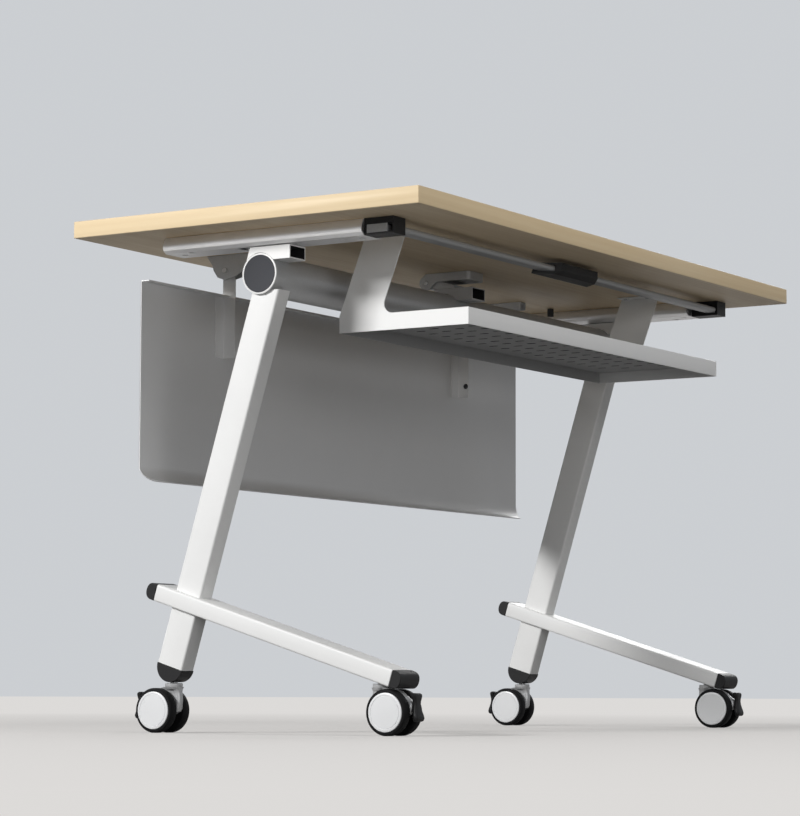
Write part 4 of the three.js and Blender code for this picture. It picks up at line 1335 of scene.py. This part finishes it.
@dataclass
class Fasteners:
    """Cross recess screws on the tray's flanges and on the right panel hanger."""

    head: float = 4.6 * MM
    head_face: float = 0.68
    head_sides: int = 24
    rise: float = 2.2 * MM
    recess: float = 1.3 * MM
    recess_long: float = 1.05
    flange: float = 2.0 * MM
    flange_in: float = 8.0 * MM
    flange_rows: tuple[float, ...] = (-140.0 * MM, -100.0 * MM)
    hanger_offset: Point = (20.0 * MM, 5.0 * MM, 19.5 * MM)

    def tree(self, sizes: dict[str, float]) -> bpy.types.NodeTree:
        """Builds the tree that sets a screw on each point.

        Args:
            sizes: The tree's named sizes.

        Returns:
            The tree.
        """
        kit, given, out = geometry_tree("screw_heads", sizes)
        radius, rise, wide = given["Head Radius"], given["Head Height"], given["Recess Width"]
        head = kit.add(
            "GeometryNodeMeshCone", Vertices=self.head_sides, Radius_Bottom=radius, Depth=rise,
            Radius_Top=kit.math("MULTIPLY", radius, self.head_face),
        )
        long = kit.math("MULTIPLY", radius, self.recess_long)
        cross = kit.vector(long, wide, rise), kit.vector(wide, long, rise)
        bars = [kit.run("GeometryNodeMeshCube", size) for size in cross]
        lift = kit.add("GeometryNodeTransform", Geometry=kit.join(*bars), Translation=kit.vector(z=rise))
        cut = {"operation": "DIFFERENCE", "solver": "EXACT"}
        crossed = kit.add("GeometryNodeMeshBoolean", cut, Self_Intersection=True)
        kit.put(crossed.inputs[0], head.outputs[0])
        kit.put(crossed.inputs[1], lift.outputs[0])
        facing = kit.add("GeometryNodeInputNamedAttribute", {"data_type": "FLOAT_VECTOR"}, Name="facing")
        turn = kit.add(
            "FunctionNodeAlignRotationToVector", {"axis": "Z"}, Vector=facing.outputs["Attribute"],
        )
        copies = kit.add(
            "GeometryNodeInstanceOnPoints", Points=given["Geometry"], Instance=crossed.outputs[0],
            Rotation=turn.outputs[0],
        )
        return end_tree(kit, copies.outputs[0], Finish.STEEL, out)

    def flange_spots(self) -> list[Vector]:
        """Finds where the screws sit under the tray's flanges.

        Returns:
            The middles of the screws' seats.
        """
        spots = []
        for side, sign in SIDES.items():
            low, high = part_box(f"tray_side_{side}")
            x = sign * (min(abs(low.x), abs(high.x)) + self.flange_in)
            spots += [Vector((x, y, high.z - self.flange)) for y in self.flange_rows]
        return spots

    def build(self) -> None:
        """Builds the screw heads of each body as one piece."""
        sizes = {"Head Radius": self.head, "Head Height": self.rise, "Recess Width": self.recess}
        tree = self.tree(sizes)
        hanger_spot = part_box("panel_hanger_right")[0] + Vector(self.hanger_offset)
        rows = (
            ("top", self.flange_spots(), Facing.DOWN, Finish.STEEL),
            # The hanger's screw takes the near-black steel, painted dark as shade.
            ("panel", [hanger_spot], Facing.LEFT, Finish.SHADED_DARK_STEEL),
        )
        for body, spots, way, finish in rows:
            mesh = bpy.data.meshes.new(f"screws_{body}")
            mesh.from_pydata(spots, [], [])
            facing = mesh.attributes.new("facing", "FLOAT_VECTOR", "POINT")
            for spot in facing.data:
                spot.vector = way.value
            piece(f"screw_heads_{body}", grown(mesh, tree, sizes), body, finish)


@dataclass(frozen=True)
class Lamp:
    """A soft rectangular lamp: its place, what it faces, its width and height, and its watts."""

    name: str
    place: Point
    target: Point
    wide: float
    tall: float
    power: float

    def build(self) -> None:
        """Hangs the lamp and turns it to what it faces."""
        data = bpy.data.lights.new(self.name, "AREA")
        data.shape = "RECTANGLE"
        data.size = self.wide
        data.size_y = self.tall
        data.energy = self.power
        lamp = shown(self.name, data)
        lamp.location = self.place
        aim = Vector(self.target) - Vector(self.place)
        lamp.rotation_euler = aim.to_track_quat("-Z", "Y").to_euler()


LAMPS: tuple[Lamp, ...] = (
    Lamp("key_lamp", (-5.0, 2.45, 2.57), (0.0, 0.0, 0.35), 1.65, 1.0, 298.0),
    Lamp("fill_lamp", (-0.2, -3.2, 3.6), (0.0, 0.0, 0.3), 3.0, 2.0, 58.0),
    Lamp("low_lamp", (-2.4, -3.4, 0.8), (0.0, 0.1, 0.5), 3.4, 1.3, 33.0),
    Lamp("side_lamp", (4.2, 1.0, 2.0), (0.0, 0.0, 0.35), 1.8, 1.2, 50.0),
    Lamp("top_lamp", (0.3, 0.3, 3.6), (0.0, 0.0, 0.7), 2.4, 1.6, 22.0),
)


@dataclass
class Studio:
    """The pale floor, the lamps, the backdrop and the camera."""

    camera_place: Point = (-3.82988, -2.31121, 0.07125)
    camera_yaw: float = math.radians(32.28)
    camera_pitch: float = math.radians(5.59)
    camera_roll: float = math.radians(0.176)
    lens: float = 124.555
    sensor: float = 36.0
    reach: float = 60.0
    floor_radius: float = 11.0
    floor_segments: int = 180
    dim: Colour = (0.045, 0.045, 0.048)
    backdrop: Colour = (0.6, 0.62, 0.645)

    def build(self) -> None:
        """Builds the floor, the lamps, the world and the camera."""
        self.ground()
        for lamp in LAMPS:
            lamp.build()
        self.world()
        self.camera()
        bpy.context.scene.view_settings.view_transform = "Standard"

    def ground(self) -> None:
        """Lays the floor as a disc, whose far edge is level from every side."""
        bm = bmesh.new()
        bmesh.ops.create_circle(
            bm, cap_ends=True, segments=self.floor_segments, radius=self.floor_radius,
        )
        mesh = mesh_of(bm, weld=False)
        mesh.materials.append(StageFinish().material())
        shown("floor", mesh)

    def world(self) -> None:
        """Gives a pale backdrop to the camera and to reflections, and a dim even light to the object."""
        world = bpy.data.worlds.new("studio")
        world.use_nodes = True
        bpy.context.scene.world = world
        kit = NodeKit(world.node_tree)
        path = kit.add("ShaderNodeLightPath")
        glossy = kit.math("MAXIMUM", path.outputs["Is Glossy Ray"], path.outputs["Is Transmission Ray"])
        seen = kit.math("MAXIMUM", path.outputs["Is Camera Ray"], glossy)
        back = world.node_tree.nodes["Background"]
        kit.feed(back, Color=kit.mix(seen, self.dim, self.backdrop), Strength=1.0)

    def camera(self) -> None:
        """Sets the camera low in front of the table's left corner, looking slightly up."""
        yaw, pitch, roll = self.camera_yaw, self.camera_pitch, self.camera_roll
        level = math.cos(pitch)
        ahead = Vector((math.cos(yaw) * level, math.sin(yaw) * level, math.sin(pitch)))
        right = Vector((math.sin(yaw), -math.cos(yaw), 0.0))
        up = right.cross(ahead)
        rolled_right = right * math.cos(roll) + up * math.sin(roll)
        rolled_up = up * math.cos(roll) - right * math.sin(roll)
        data = bpy.data.cameras.new("camera")
        data.lens = self.lens
        data.sensor_width = self.sensor
        data.clip_end = self.reach
        camera = shown("camera", data)
        turn = Matrix((rolled_right, rolled_up, -ahead)).transposed().to_4x4()
        camera.matrix_world = Matrix.Translation(self.camera_place) @ turn
        bpy.context.scene.camera = camera


def softened_nodes() -> list[SoftenedNode]:
    """Lists the CAD nodes that only need rounded edges.

    Returns:
        The nodes with the radius of their edges.
    """
    made = [
        SoftenedNode("hinge_bracket_middle", 0.7 * MM),
        SoftenedNode("release_bar", 0.5 * MM, finish=Finish.BAR_ALLOY),
        SoftenedNode("release_handle", 0.5 * MM),
        SoftenedNode("modesty_panel", 0.0),
    ]
    for hinge in ("middle", *SIDES):
        made += [
            # The insides of the stub tubes take near-black steel as painted shade.
            SoftenedNode(f"stub_{hinge}", 0.35 * MM, bore=Finish.SHADED_DARK_STEEL),
            SoftenedNode(f"hinge_knuckle_{hinge}", 0.4 * MM),
            SoftenedNode(f"hinge_pin_{hinge}", 0.6 * MM),
        ]
    for side in SIDES:
        made += [
            SoftenedNode(f"leg_cap_{side}", 0.8 * MM),
            SoftenedNode(f"rail_cap_rear_{side}", 1.2 * MM),
            SoftenedNode(f"rail_cap_front_{side}", 1.2 * MM),
            SoftenedNode(f"arm_{side}", 0.4 * MM, 2),
            SoftenedNode(f"arm_cap_{side}", 0.45 * MM),
            SoftenedNode(f"tray_side_{side}", 0.5 * MM),
            SoftenedNode(f"panel_hanger_{side}", 0.4 * MM, 2, finish=Finish.LIT_HANGER_PAINT),
            SoftenedNode(f"panel_ear_{side}", 0.5 * MM, 2),
            SoftenedNode(f"bumper_{side}", 1.2 * MM),
        ]
    return made


def main() -> None:
    """Builds every sub-assembly, then the studio."""
    logging.basicConfig(level=logging.INFO, format="%(name)s: %(message)s")
    Board().build()
    SideFrames().build()
    Crossbeam().build()
    Tray().build()
    for end in ENDS:
        for side in SIDES:
            Castor(f"{end}_{side}").build()
    for soft in softened_nodes():
        soft.build()
    Fasteners().build()
    Studio().build()


if __name__ == "__main__":
    main()
